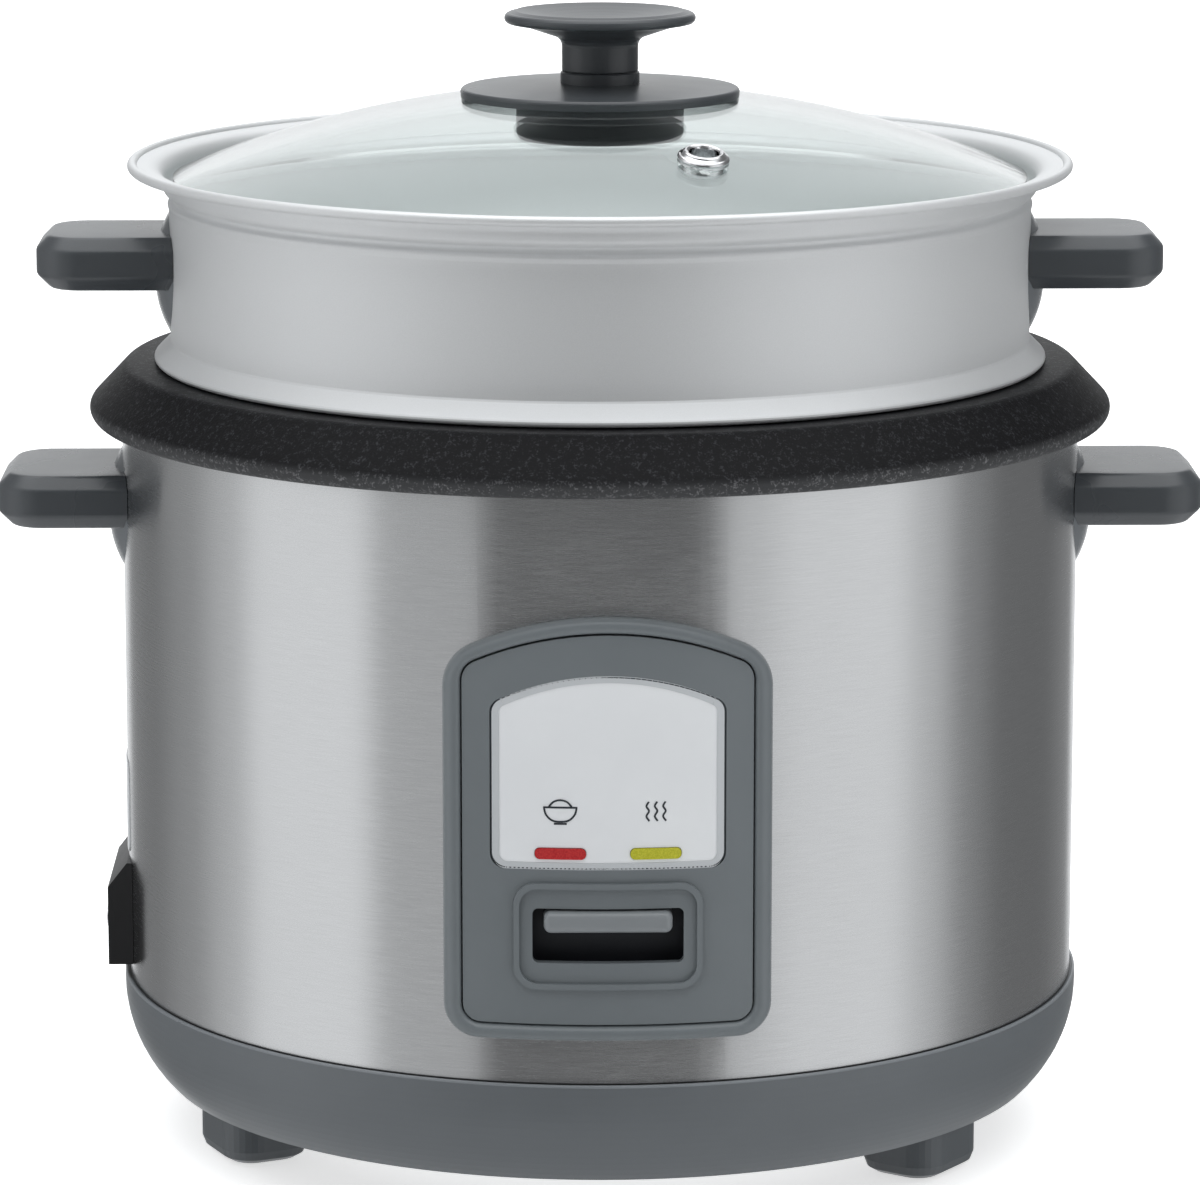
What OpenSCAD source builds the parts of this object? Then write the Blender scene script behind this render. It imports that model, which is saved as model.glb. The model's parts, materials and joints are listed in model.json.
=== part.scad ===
// Drum rice cooker with a lift-out pot, a steamer basket and a glass lid.
// The origin is on the vertical axis, at the height that the feet stand on.
// +Z is up, the control panel faces -Y and the mains inlet faces -X.

/* [Body] */
// Outer radius of the steel shell
body_r = 135; // [110:1:165]
// Height of the steel shell above the base seam
shell_h = 167; // [135:1:205]
// Sheet thickness of the steel shell
shell_t = 0.6; // [0.4:0.1:0.9]
// Air gap between the shell and the liner
jacket_gap = 11.8; // [11:0.1:16]
// Sheet thickness of the liner
liner_t = 0.6; // [0.4:0.1:0.9]
// Height of the moulded base, from its underside to the seam
base_h = 29; // [24:1:36]
// Wall thickness of the moulded base
base_t = 2.6; // [2:0.1:3.5]
// Height of the feet
foot_h = 16; // [9:0.5:20]
// Height of the bay for the works, under the liner
works_h = 51; // [47:1:60]

/* [Heating] */
// Radius of the heating plate
plate_r = 92; // [76:1:100]
// Thickness of the heating plate
plate_t = 7; // [5:0.5:9]
// Radius of the heating tube's loop
tube_loop_r = 62; // [50:1:70]
// Radius of the heating tube
tube_r = 4; // [3:0.25:5]
// Radius of the temperature sensor's cap
sensor_r = 18; // [15:0.5:22]

/* [Pot] */
// Sheet thickness of the pot
pot_t = 1.4; // [1:0.1:2]
// Gap between the pot and the liner
pot_gap = 2.6; // [2:0.1:4]
// How far the pot's rim stands out past the steel shell
rim_over = 8.9; // [7:0.1:12]
// Height of the pot's ledge above the body's top ring
rim_gap = 5; // [4:0.1:7]

/* [Steamer] */
// Height of the steamer above the pot
steamer_h = 56.8; // [48:0.1:72]
// Sheet thickness of the steamer
steamer_t = 0.8; // [0.6:0.1:1.2]
// Depth of the spigot that drops into the pot
spigot_h = 11; // [8:0.5:16]
// Radius of the steam holes
steam_hole_r = 2.6; // [1.5:0.1:3.5]

/* [Lid] */
// Thickness of the glass
glass_t = 4; // [3:0.1:5]
// Rise of the dome from its edge to its crown
dome_rise = 24; // [18:0.5:32]
// Radius of the knob's base disc
knob_base_r = 39.2; // [32:0.2:46]
// Radius of the knob
knob_r = 26.8; // [22:0.2:32]
// Height of the knob above the crown
knob_h = 21.4; // [18:0.2:26]
// Radius of the steam vent's hole
vent_r = 4; // [3:0.1:5]

/* [Handles] */
// How far the body's handles reach past the shell
body_handle_out = 34.4; // [28:0.2:42]
// Half width of the body's handles
body_handle_w = 27; // [22:0.5:33]
// How far the steamer's handles reach past its wall
steam_handle_out = 36.8; // [30:0.2:44]
// Half width of the steamer's handles
steam_handle_w = 23; // [19:0.5:28]
// Thickness of the handles
handle_t = 15; // [12:0.5:18]

/* [Panel] */
// Half width of the panel's frame
frame_w = 43.6; // [40:0.2:50]
// Height of the panel's frame
frame_h = 114.5; // [111:0.5:130]
// Width of the frame's border
frame_border = 4.8; // [3.5:0.1:6]
// Half width of the label window
window_w = 30.8; // [27:0.2:33]
// Half width of the lever's slot
slot_w = 20; // [18.5:0.1:23]
// Height of the lever's slot
slot_h = 14.8; // [14:0.1:18]
// How far the lever's tab travels down
tab_travel = 7.5; // [5:0.1:8]

/* [Hidden] */
$fn = 96;

fit = 0.05;                                  // radial clearance of pins and screws
rest_gap = 0.3;                              // gap under a piece that lifts off

// Radii of the body, from the shell inwards and outwards
shell_ri = body_r - shell_t;
liner_ro = shell_ri - jacket_gap;
liner_ri = liner_ro - liner_t;
pot_ro = liner_ri - pot_gap;
pot_ri = pot_ro - pot_t;
rim_r = body_r + rim_over;
base_ro = body_r + 1.5;                      // widest part of the base
base_arc = 37;                               // radius of the base's side curve
base_arc_z = foot_h + base_h - 3;            // height at which the base is widest
ledge_r = base_ro - base_arc + base_arc * cos(asin((base_h - 3) / base_arc));

// Heights of the body
seam_z = foot_h + base_h;
shell_top = seam_z + shell_h;
ring_t = 1.6;
ring_top = shell_top + ring_t;
pot_top = ring_top + rim_gap + pot_t;
liner_z = foot_h + works_h;
plate_gap = 4.4;                             // air under the heating plate's rib
plate_rib = 7;                               // height of the rib round the tube
plate_z = liner_z + liner_t + plate_gap + plate_rib + plate_t;
pot_z = plate_z + 0.1;

// Feet and base screws, as angles in the XY plane
foot_turn = -155.3;
foot_ring = ledge_r - 17.8;
foot_len = 31;
foot_deep = 25;
boss_turn = foot_turn + 35;
boss_ring = liner_ri - 18;
boss_r = 5;
screw_r = 2;
cover_r = foot_ring - foot_deep / 2 - 4;
cover_t = 1;

// Works: the lever swings about X, its pivot is below the liner
pivot_y = -45;
lever_z = liner_z - 18;
pin_r = 1.5;
lever_t = 1.6;
strip_y = -(liner_ro + 2.8);                 // inner face of the lever's upright strip
strip_t = 1.4;
tab_y = -(body_r + 4.2);                     // front of the tab
tab_h = 5.7;
tab_w = 17.3;
slot_z = seam_z + 34.1;                      // bottom of the slot
tab_z = slot_z + slot_h - 0.7 - tab_h;       // bottom of the tab at rest
lever_angle = asin(tab_travel / (pivot_y - tab_y));
magnet_rise = -pivot_y * sin(lever_angle);
sensor_top = plate_z - 0.05;
cap_t = 2;
ferrite_h = 5;
magnet_h = 7;
ferrite_z = sensor_top - cap_t - ferrite_h;
magnet_z = ferrite_z - magnet_rise - 0.3 - magnet_h;
rod_r = 3;
rod_z = lever_z + lever_t / 2 + 0.3;
bracket_w = 11;                              // inner half width of the lever's bracket
bracket_t = 1.2;
bracket_low = lever_z - 17;
switch_y = pivot_y - 30;

// Panel
panel_z = seam_z + 12.6;
insert_gap = 0.35;
insert_r = body_r + 2.7;                     // face of the insert
frame_r = body_r + 3.9;                      // face of the frame
window_z = panel_z + 47.2;
window_h = 51.6;
lamp_x = 12.6;
lamp_z = window_z + 4;
recess_w = 25;                               // half width of the dished surround

// Inlet
inlet_w = 24;
inlet_z = seam_z + 4.3;
inlet_h = 29.5;
inlet_out = 4.9;
socket_w = 12.2;
socket_h = 16;
socket_z = inlet_z + 5.5;
socket_deep = 14.5;

// Steamer
steamer_z = pot_top + rest_gap;
steamer_r = pot_ri + 3;
spigot_ro = pot_ri - 1.4;
spigot_z = pot_top - spigot_h;
skirt_r = steamer_r + 4.6;
skirt_h = 6.4;
flange_z = pot_top + steamer_h;              // top of the rolled edge
groove_z = flange_z - 10.6;                  // middle of the groove that seats the lid
bead_z = groove_z - 2.6;
band_z = groove_z + 3.8;

// Lid
glass_r = steamer_r - 1.2;
glass_z = groove_z + 5.8;                    // height of the glass's upper edge
crown_z = glass_z + dome_rise;
dome_r = (glass_r * glass_r + dome_rise * dome_rise) / (2 * dome_rise);
vent_ring = 83;                              // distance of the vent from the axis
vent_turn = -71.5;
vent_tilt = asin(vent_ring / dome_r);
stem_r = 10.7;

// Handles
body_handle_z = shell_top - 29.5;
steam_handle_z = steamer_z + 28.7;
plate_bulge = 4;
plate_drop = 4.6;                            // the domed plates sit below the handles' middle
body_plate_r = 18.3;
steam_plate_r = 16.7;

module ring(ri, ro, z, h) translate([0, 0, z]) difference() {
    cylinder(r = ro, h = h, $fn = 180);
    translate([0, 0, -1]) cylinder(r = ri, h = h + 2, $fn = 180);
}

// Points of an arc about c, from angle a to angle b
function arc(c, r, a, b, n = 8) = [for (i = [0:n])
    c + r * [cos(a + (b - a) * i / n), sin(a + (b - a) * i / n)]];
function unit(v) = v / norm(v);
function turned(v) = [-v[1], v[0]];
// The point of a path, moved t to the left of the path's direction
function beside(path, i, t) =
    let (a = unit(path[max(i, 1)] - path[max(i, 1) - 1]),
         last = len(path) - 2,
         b = unit(path[min(i, last) + 1] - path[min(i, last)]),
         n = unit(turned(a) + turned(b)))
    path[i] + n * t / (n * turned(a));
// A sheet of thickness t, spun about Z, whose right-hand face is the path
module spun_sheet(path, t) rotate_extrude($fn = 180)
    polygon(concat(path, [for (i = [len(path) - 1:-1:0]) beside(path, i, t)]));

// Rectangle with round corners, centred
module round_rect(w, h, r) {
    square([w, h - 2 * r], center = true);
    square([w - 2 * r, h], center = true);
    for (x = [-1, 1], y = [-1, 1]) translate([x * (w / 2 - r), y * (h / 2 - r)]) circle(r);
}
// Outline with round lower corners and an arched top, of half width w,
// with its shoulders at height s and its crown at height h
function arched(w, h, s, low_r, top_r) =
    let (rise = h - s,
         big = (w * w + rise * rise) / (2 * rise),
         mid = h - big,
         cx = w - top_r,
         cz = mid + sqrt(pow(big - top_r, 2) - cx * cx),
         turn = atan2(cz - mid, cx))
    concat(arc([w - low_r, low_r], low_r, -90, 0),
        arc([cx, cz], top_r, 0, turn),
        arc([0, mid], big, turn, 180 - turn, 16),
        arc([-cx, cz], top_r, 180 - turn, 180),
        arc([low_r - w, low_r], low_r, 180, 270));
// Stands an outline drawn in X and Z up in front of the body, between two radii
module on_front(z, ri, ro) intersection() {
    translate([0, -body_r / 2, z]) rotate([90, 0, 0]) linear_extrude(body_r) children();
    ring(ri, ro, z - 20, frame_h + 60);
}

// Smooth curve through hand-set points, and a round tube swept along a curve
function bend(p, i, u) =
    let (a = p[max(i - 1, 0)], b = p[i], c = p[i + 1], d = p[min(i + 2, len(p) - 1)])
    0.5 * (2 * b + (c - a) * u + (2 * a - 5 * b + 4 * c - d) * u * u
        + (3 * b - a - 3 * c + d) * u * u * u);
function curve(p, n = 5) = concat([for (i = [0:len(p) - 2], k = [0:n - 1]) bend(p, i, k / n)],
    [p[len(p) - 1]]);
function heading(p, i) = unit(p[min(i + 1, len(p) - 1)] - p[max(i - 1, 0)]);
module tube_along(p, r, up = [0, 0, 1], sides = 8) {
    rings = [for (i = [0:len(p) - 1])
        let (t = heading(p, i), x = unit(cross(up, t)), y = cross(t, x))
        for (k = [0:sides - 1]) p[i] + r * (x * cos(k * 360 / sides) + y * sin(k * 360 / sides))];
    last = (len(p) - 1) * sides;
    polyhedron(rings, concat([[for (k = [0:sides - 1]) k]],
        [for (i = [0:len(p) - 2], k = [0:sides - 1])
            let (a = i * sides + k, b = i * sides + (k + 1) % sides) [a, a + sides, b + sides, b]],
        [[for (k = [sides - 1:-1:0]) last + k]]));
}
// Compression spring that stands on z
module coil_spring(r, wire, turns, z, h) {
    steps = turns * 14;
    tube_along([for (i = [0:steps]) [r * cos(i * 360 / 14), r * sin(i * 360 / 14),
        z + wire + (h - 2 * wire) * i / steps]], wire, sides = 6);
}

// ---- Base ----

module at_feet() for (i = [0:2]) rotate([0, 0, foot_turn + 120 * i])
    translate([foot_ring, 0, 0]) children();
module at_bosses() for (i = [0:2]) rotate([0, 0, boss_turn + 120 * i])
    translate([boss_ring, 0, 0]) children();
module at_cover_screws() for (i = [0:3]) rotate([0, 0, 45 + 90 * i])
    translate([cover_r - 4, 0, 0]) children();

module base_shell() color([0.40, 0.42, 0.44]) {
    sweep = asin((base_h - 3) / base_arc);
    mid = [base_ro - base_arc, base_arc_z];
    inner = base_arc - base_t;
    low = asin((base_h - 3 - base_t) / inner);
    difference() {
        union() {
            rotate_extrude($fn = 180) polygon(concat(
                [[cover_r - 6, foot_h]],
                arc(mid, base_arc, -sweep, 0, 12),
                [[base_ro - 0.1, seam_z - 0.6], [base_ro - 0.5, seam_z],
                 [body_r + fit, seam_z], [body_r + fit, base_arc_z],
                 [shell_ri - 0.6, base_arc_z]],
                arc(mid, inner, -4, -low, 12),
                [[cover_r - 6, foot_h + base_t]]));
            at_bosses() translate([0, 0, foot_h]) cylinder(r = boss_r, h = works_h);
        }
        at_bosses() {
            translate([0, 0, foot_h - 1]) cylinder(r = screw_r + fit, h = works_h + 2);
            translate([0, 0, foot_h - 1]) cylinder(r = 4.4, h = 4);
        }
        at_cover_screws() translate([0, 0, foot_h - 1]) cylinder(r = screw_r - 0.4 + fit, h = base_t + 2);
    }
}

module feet() color([0.38, 0.40, 0.42]) at_feet() difference() {
    hull() {
        for (x = [-1, 1], y = [-1, 1]) {
            translate([x * (foot_deep / 2 - 9), y * (foot_len / 2 - 9), 4.5])
                cylinder(r = 9, h = foot_h - 4.5, $fn = 32);
            translate([x * (foot_deep / 2 - 9), y * (foot_len / 2 - 9), 2.1])
                cylinder(r = 8.1, h = 1, $fn = 32);
            translate([x * (foot_deep / 2 - 9), y * (foot_len / 2 - 9), 0.8])
                cylinder(r = 6, h = 1, $fn = 32);
        }
    }
    translate([0, 0, 0.5]) cylinder(r = 7.1, h = 2.7);
}

module foot_pads() color([0.12, 0.12, 0.12]) at_feet() cylinder(r = 7, h = 3.1);

module bottom_cover() color([0.62, 0.63, 0.64]) translate([0, 0, foot_h - cover_t]) difference() {
    linear_extrude(cover_t) difference() {
        circle(cover_r, $fn = 180);
        for (row = [0:2], i = [0:11]) rotate(i * 30 + 15 * (row % 2))
            translate([26 + row * 17, 0]) round_rect(9, 3, 1.4);
    }
    at_cover_screws() translate([0, 0, -1]) cylinder(r = screw_r - 0.4 + fit, h = cover_t + 2);
}

module cover_screws() color([0.72, 0.72, 0.70]) at_cover_screws() {
    translate([0, 0, foot_h - cover_t - 1.6]) cylinder(r = 3.2, h = 1.6);
    translate([0, 0, foot_h - cover_t - 0.1]) cylinder(r = screw_r - 0.4, h = base_t + cover_t + 3);
}

module base_screws() color([0.72, 0.72, 0.70]) at_bosses() {
    translate([0, 0, foot_h + 0.6]) cylinder(r = 4.2, h = 2.4);
    translate([0, 0, foot_h + 2.9]) cylinder(r = screw_r, h = works_h + 1);
}

// ---- Shell, liner and top ring ----

// Runs its child at each handle screw: side is 1 at +X and -1 at -X
module at_screws(z) for (side = [-1, 1], y = [-9, 9]) translate([0, y, z]) rotate([0, side * 90, 0])
    children();

module outer_shell() color([0.74, 0.75, 0.76]) difference() {
    ring(shell_ri, body_r, base_arc_z + fit, shell_top - base_arc_z - fit);
    // opening behind the panel for the lever and the lamps
    translate([0, -body_r, slot_z + 3]) cube([2 * slot_w + 8, 40, slot_h + 24], center = true);
    translate([0, -body_r, lamp_z + 1.5]) cube([2 * lamp_x + 18, 40, 9], center = true);
    translate([-body_r, 0, inlet_z + inlet_h / 2])
        cube([40, 2 * inlet_w - 5, inlet_h - 5], center = true);
    at_screws(body_handle_z) translate([0, 0, body_r - 15]) cylinder(r = screw_r + fit, h = 30);
    at_panel_screws() cylinder(r = 1.2 + fit, h = 30);
}

module rating_plate() color([0.86, 0.87, 0.87]) intersection() {
    ring(body_r + 0.02, body_r + 0.35, 0, shell_top);
    translate([-body_r, 0, inlet_z + inlet_h + 15]) rotate([0, 90, 0])
        linear_extrude(20, center = true) round_rect(26, 40, 3);
}

module inner_liner() color([0.70, 0.71, 0.72]) difference() {
    spun_sheet(concat([[0, liner_z]],
        arc([liner_ro - 6, liner_z + 6], 6, -90, 0),
        [[liner_ro, shell_top - 1.7]]), liner_t);
    translate([0, 0, liner_z - 5]) cylinder(r = sensor_r + 4, h = 10);
    at_bosses() translate([0, 0, liner_z - 5]) cylinder(r = screw_r + fit, h = 10);
    at_posts() translate([0, 0, liner_z - 5]) cylinder(r = 1.9 + fit, h = 10);
    at_tube_ends() translate([0, 0, liner_z - 5]) cylinder(r = tube_r + 1.4, h = 10);
}

module top_ring() color([0.30, 0.31, 0.32]) rotate_extrude($fn = 180) polygon([
    [liner_ri, ring_top], [liner_ri, shell_top - 1.6], [liner_ro + 0.5, shell_top - 1.6],
    [liner_ro + 0.5, shell_top - 4], [liner_ro + 1.7, shell_top - 4], [liner_ro + 1.7, shell_top],
    [shell_ri - 1.3, shell_top], [shell_ri - 1.3, shell_top - 5], [shell_ri - fit, shell_top - 5],
    [shell_ri - fit, shell_top + fit], [body_r + fit, shell_top + fit],
    [body_r + fit, shell_top - 4], [body_r + 0.9, shell_top - 4], [body_r + 0.9, ring_top - 0.7],
    [body_r + 0.2, ring_top]]);

// ---- Heating plate and sensor ----

module at_posts() for (i = [0:2]) rotate([0, 0, 90 + 120 * i]) translate([plate_r - 14, 0, 0])
    children();
tube_gap = 24;                               // angle between the tube's two ends
module at_tube_ends() for (s = [-1, 1]) rotate([0, 0, 90 + s * tube_gap / 2])
    translate([tube_loop_r, 0, 0]) children();
tube_z = plate_z - plate_t - 2.5;

module heating_plate() color([0.78, 0.79, 0.80]) difference() {
    union() {
        ring(sensor_r + 1.2, plate_r, plate_z - plate_t, plate_t);
        ring(tube_loop_r - tube_r - 3.5, tube_loop_r + tube_r + 3.5, plate_z - plate_t - plate_rib,
            plate_rib + 0.1);
    }
    rotate_extrude($fn = 180) translate([tube_loop_r, tube_z]) circle(tube_r + fit);
    translate([0, 0, plate_z - plate_t - plate_rib - 1]) linear_extrude(plate_rib - 1.6)
        difference() { circle(tube_loop_r + tube_r - 1.6); circle(tube_loop_r - tube_r + 1.6); }
    at_posts() translate([0, 0, plate_z - plate_t - 1]) cylinder(r = 1.9 + fit, h = 5);
    at_tube_ends() translate([0, 0, tube_z - 10]) cylinder(r = tube_r + 0.5 + fit, h = tube_r + 10.6);
}

module heating_tube() color([0.55, 0.53, 0.50]) {
    rotate([0, 0, 90 + tube_gap / 2]) rotate_extrude(angle = 360 - tube_gap, $fn = 180)
        translate([tube_loop_r, tube_z]) circle(tube_r);
    at_tube_ends() {
        translate([0, 0, liner_z - 4]) cylinder(r = tube_r + 0.5, h = tube_z + tube_r - liner_z + 4.5);
        translate([0, 0, liner_z - 14]) cylinder(r = 1.3, h = 11);
    }
}

module plate_posts() color([0.70, 0.70, 0.68]) at_posts() {
    translate([0, 0, liner_z + liner_t]) cylinder(r = 4, h = plate_gap + plate_rib);
    translate([0, 0, liner_z - 1]) cylinder(r = 1.9, h = plate_gap + plate_rib + 5);
    translate([0, 0, liner_z - 2.4]) cylinder(r = 3.6, h = 2.4);
}

// Tube that guides the sensor, hung under the liner
guide_low = magnet_z - 6;
module sensor_guide() color([0.66, 0.67, 0.68]) {
    ring(rod_r + 0.1, sensor_r + 0.9, guide_low - 1, 1.1);
    ring(sensor_r + 0.1, sensor_r + 0.9, guide_low, 12);
    ring(sensor_r + 0.2, sensor_r + 7, liner_z - 1, 1);
}

module sensor_cap() color([0.80, 0.81, 0.82]) translate([0, 0, sensor_top - cap_t]) {
    cylinder(r = sensor_r, h = cap_t);
    ring(sensor_r - 1.2, sensor_r, 0.1 - 19, 19);
}

module sensor_ferrite() color([0.25, 0.25, 0.26]) translate([0, 0, ferrite_z])
    cylinder(r = 10, h = ferrite_h);

module sensor_spring() color([0.72, 0.73, 0.74])
    coil_spring(sensor_r - 3.4, 0.8, 4, guide_low + 0.15, sensor_top - cap_t - guide_low - 0.3);

module magnet() color([0.30, 0.30, 0.32]) ring(rod_r + fit, 9, magnet_z, magnet_h);

module magnet_rod() color([0.75, 0.72, 0.55]) {
    translate([0, 0, rod_z]) cylinder(r = rod_r, h = magnet_z + magnet_h - rod_z);
    ring(rod_r - 0.1, 7, magnet_z - 1.2, 1.15);
    ring(rod_r - 0.1, 6.6, rod_z + 1, 1);
}

module magnet_spring() color([0.72, 0.73, 0.74])
    coil_spring(5.2, 0.5, 4, rod_z + 2.05, guide_low - rod_z - 3.1);

// ---- Lever and switch ----

module lever_bracket() color([0.66, 0.67, 0.68]) difference() {
    union() {
        for (s = [-1, 1]) translate([s * (bracket_w + bracket_t / 2) - bracket_t / 2, switch_y - 14,
            bracket_low]) cube([bracket_t, 46, liner_z - bracket_low - 0.05]);
        translate([-bracket_w - bracket_t, switch_y - 14, liner_z - bracket_t - 0.05])
            cube([2 * (bracket_w + bracket_t), 46, bracket_t]);
    }
    translate([0, pivot_y, lever_z]) rotate([0, 90, 0])
        cylinder(r = pin_r + fit, h = 40, center = true);
    at_switch_pins() cylinder(r = 1.2 + fit, h = 40, center = true);
}

module lever_pin() color([0.75, 0.75, 0.73]) translate([0, pivot_y, lever_z]) rotate([0, 90, 0]) {
    cylinder(r = pin_r, h = 2 * (bracket_w + bracket_t) + 2, center = true);
    for (s = [-1, 1]) translate([0, 0, s * (bracket_w + bracket_t + 0.7)])
        cylinder(r = 2.6, h = 1.2, center = true);
}

module cook_lever() color([0.58, 0.59, 0.60]) difference() {
    union() {
        translate([-8, strip_y - strip_t, lever_z - lever_t / 2])
            cube([16, 1.5 - strip_y + strip_t, lever_t]);
        translate([-15, strip_y - strip_t, lever_z - lever_t / 2])
            cube([30, strip_t, tab_z + tab_h - 1 - lever_z]);
        translate([0, pivot_y, lever_z]) rotate([0, 90, 0])
            cylinder(r = 3, h = 2 * bracket_w - 1, center = true);
    }
    translate([0, pivot_y, lever_z]) rotate([0, 90, 0])
        cylinder(r = pin_r + fit, h = 40, center = true);
}

module lever_tab() color([0.42, 0.44, 0.46]) {
    // finger tab
    translate([0, strip_y - strip_t - 0.1, tab_z + tab_h / 2]) rotate([90, 0, 0])
        linear_extrude(strip_y - strip_t - tab_y - 0.1) round_rect(2 * tab_w, tab_h, 1.8);
    // apron that closes the slot behind the tab
    translate([-slot_w - 0.6, strip_y - strip_t - 1.6, slot_z - 6])
        cube([2 * slot_w + 1.2, 1.5, slot_h + 6 + tab_travel + 0.6]);
}

module at_switch_pins() for (y = [-8, 6]) translate([0, switch_y + y, bracket_low + 5])
    rotate([0, 90, 0]) children();

module switch_body() color([0.20, 0.20, 0.21]) difference() {
    translate([-bracket_w + 0.1, switch_y - 12, bracket_low + 1])
        cube([2 * bracket_w - 0.2, 22, 10.4]);
    at_switch_pins() cylinder(r = 1.2 + fit, h = 40, center = true);
    translate([0, switch_y, bracket_low + 5]) cylinder(r = 1.8 + fit, h = 10);
}

module switch_plunger() color([0.80, 0.20, 0.15]) translate([0, switch_y, bracket_low + 8.4])
    cylinder(r = 1.8, h = lever_z - lever_t / 2 - 0.3 - bracket_low - 8.4);

module switch_pins() color([0.75, 0.75, 0.73]) at_switch_pins() {
    cylinder(r = 1.2, h = 2 * (bracket_w + bracket_t) + 1, center = true);
    for (s = [-1, 1]) translate([0, 0, s * (bracket_w + bracket_t + 0.5)])
        cylinder(r = 2.2, h = 0.8, center = true);
}

module warm_thermostat() color([0.88, 0.87, 0.83]) rotate([0, 0, -20])
    translate([plate_r - 10, 0, plate_z - plate_t]) {
        translate([0, 0, -1.3]) cylinder(r = 7, h = 1.3);
        translate([0, 0, -6]) cylinder(r = 6, h = 4.8);
    }

module thermal_fuse() color([0.84, 0.82, 0.76]) rotate([0, 0, 150])
    translate([plate_r - 12, 0, plate_z - plate_t - 2.6]) rotate([90, 0, 0]) {
        cylinder(r = 2.5, h = 26, center = true);
        for (s = [-1, 1]) translate([0, 0, s * 16]) cylinder(r = 0.6, h = 7, center = true);
    }

// ---- Panel and lamps ----

panel_screw_x = 32.2;                        // distance of the panel's screws from its middle
module at_panel_screws() for (s = [-1, 1], z = [8, 60]) rotate([0, 0, s * asin(panel_screw_x / body_r)])
    translate([0, 15 - body_r, panel_z + z]) rotate([90, 0, 0]) children();

module panel_frame() color([0.38, 0.41, 0.43]) {
    in_w = frame_w - frame_border;
    on_front(panel_z, body_r + fit, frame_r) difference() {
        polygon(arched(frame_w, frame_h, frame_h - 12.1, 9, 13));
        translate([0, frame_border - 0.4]) polygon(arched(in_w, frame_h - 2 * frame_border + 1,
            frame_h - 2 * frame_border - 8.5, 5, 6));
    }
}

module panel_insert() color([0.42, 0.44, 0.46]) {
    in_w = frame_w - frame_border - insert_gap;
    in_h = frame_h - 2 * frame_border + 1 - 2 * insert_gap;
    difference() {
        union() {
            on_front(panel_z + frame_border - 0.4 + insert_gap, body_r + fit, insert_r)
                polygon(arched(in_w, in_h, in_h - 9.4, 4.7, 5.7));
            on_front(slot_z + slot_h / 2, body_r + fit, insert_r + 1.2) difference() {
                round_rect(2 * recess_w, slot_h + 14, 6);
                round_rect(2 * recess_w - 3, slot_h + 11, 5);
            }
        }
        // seat of the label plate
        on_front(window_z - insert_gap, insert_r - 1.2, insert_r + 1)
            polygon(arched(window_w + insert_gap, window_h + 2 * insert_gap, window_h - 7.2, 4, 4));
        translate([0, -body_r, slot_z + slot_h / 2]) rotate([90, 0, 0])
            linear_extrude(30, center = true) round_rect(2 * slot_w, slot_h, 1.6);
        lamp_pockets(0.1);
        at_panel_screws() cylinder(r = 1.2 + fit, h = 16.6);
    }
}

module lamp_outline(grow) round_rect(13.5 + 2 * grow, 3 + 2 * grow, 1.4);
module lamp_pockets(grow) for (s = [-1, 1]) translate([s * lamp_x, -body_r, lamp_z])
    rotate([90, 0, 0]) linear_extrude(30, center = true) lamp_outline(grow);

module label_plate() color([0.84, 0.85, 0.86]) difference() {
    on_front(window_z, insert_r - 1.15, insert_r - 0.25)
        polygon(arched(window_w, window_h, window_h - 7.5, 4, 4));
    lamp_pockets(0.1);
}

module lens(side) intersection() {
    translate([side * lamp_x, -body_r, lamp_z]) rotate([90, 0, 0])
        linear_extrude(30, center = true) lamp_outline(0);
    ring(body_r - 1.6, insert_r + 0.15, lamp_z - 10, 20);
}
module lens_cook() color([0.70, 0.12, 0.13]) lens(-1);
module lens_warm() color([0.70, 0.70, 0.14]) lens(1);

module panel_screws() color([0.72, 0.72, 0.70]) at_panel_screws() {
    translate([0, 0, 14.1 - shell_t]) cylinder(r = 2.2, h = 0.7);
    translate([0, 0, 14.7 - shell_t]) cylinder(r = 1.2, h = 16.4 - 14.7 + shell_t);
}

holder_w = lamp_x + 11;                      // half width of the lamp holder
lamp_y = 3.5 + fit - sqrt(shell_ri * shell_ri - holder_w * holder_w);
module lamp_holder() color([0.82, 0.82, 0.80]) translate([0, lamp_y, lamp_z]) difference() {
    cube([2 * holder_w, 7, 7.4], center = true);
    for (s = [-1, 1]) translate([s * lamp_x, -2, 0]) cube([15, 8, 5.6], center = true);
}

module neon_lamps() color([0.90, 0.60, 0.40]) for (s = [-1, 1])
    translate([s * lamp_x, lamp_y - 0.6, lamp_z]) rotate([0, 90, 0])
        cylinder(r = 2.2, h = 12, center = true);

// ---- Mains inlet and wires ----

// Live and neutral above, earth below, as places in Y and Z
pin_places = [[-7, socket_z + 6], [7, socket_z + 6], [0, socket_z + 10]];
module at_inlet_pins() for (p = pin_places) translate([-body_r - inlet_out + 3.2, p[0], p[1]])
    rotate([0, 90, 0]) children();
module at_inlet_screws() for (s = [-1, 1]) translate([-body_r - inlet_out, s * (inlet_w - 5.4),
    inlet_z + 13]) rotate([0, 90, 0]) children();

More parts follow.
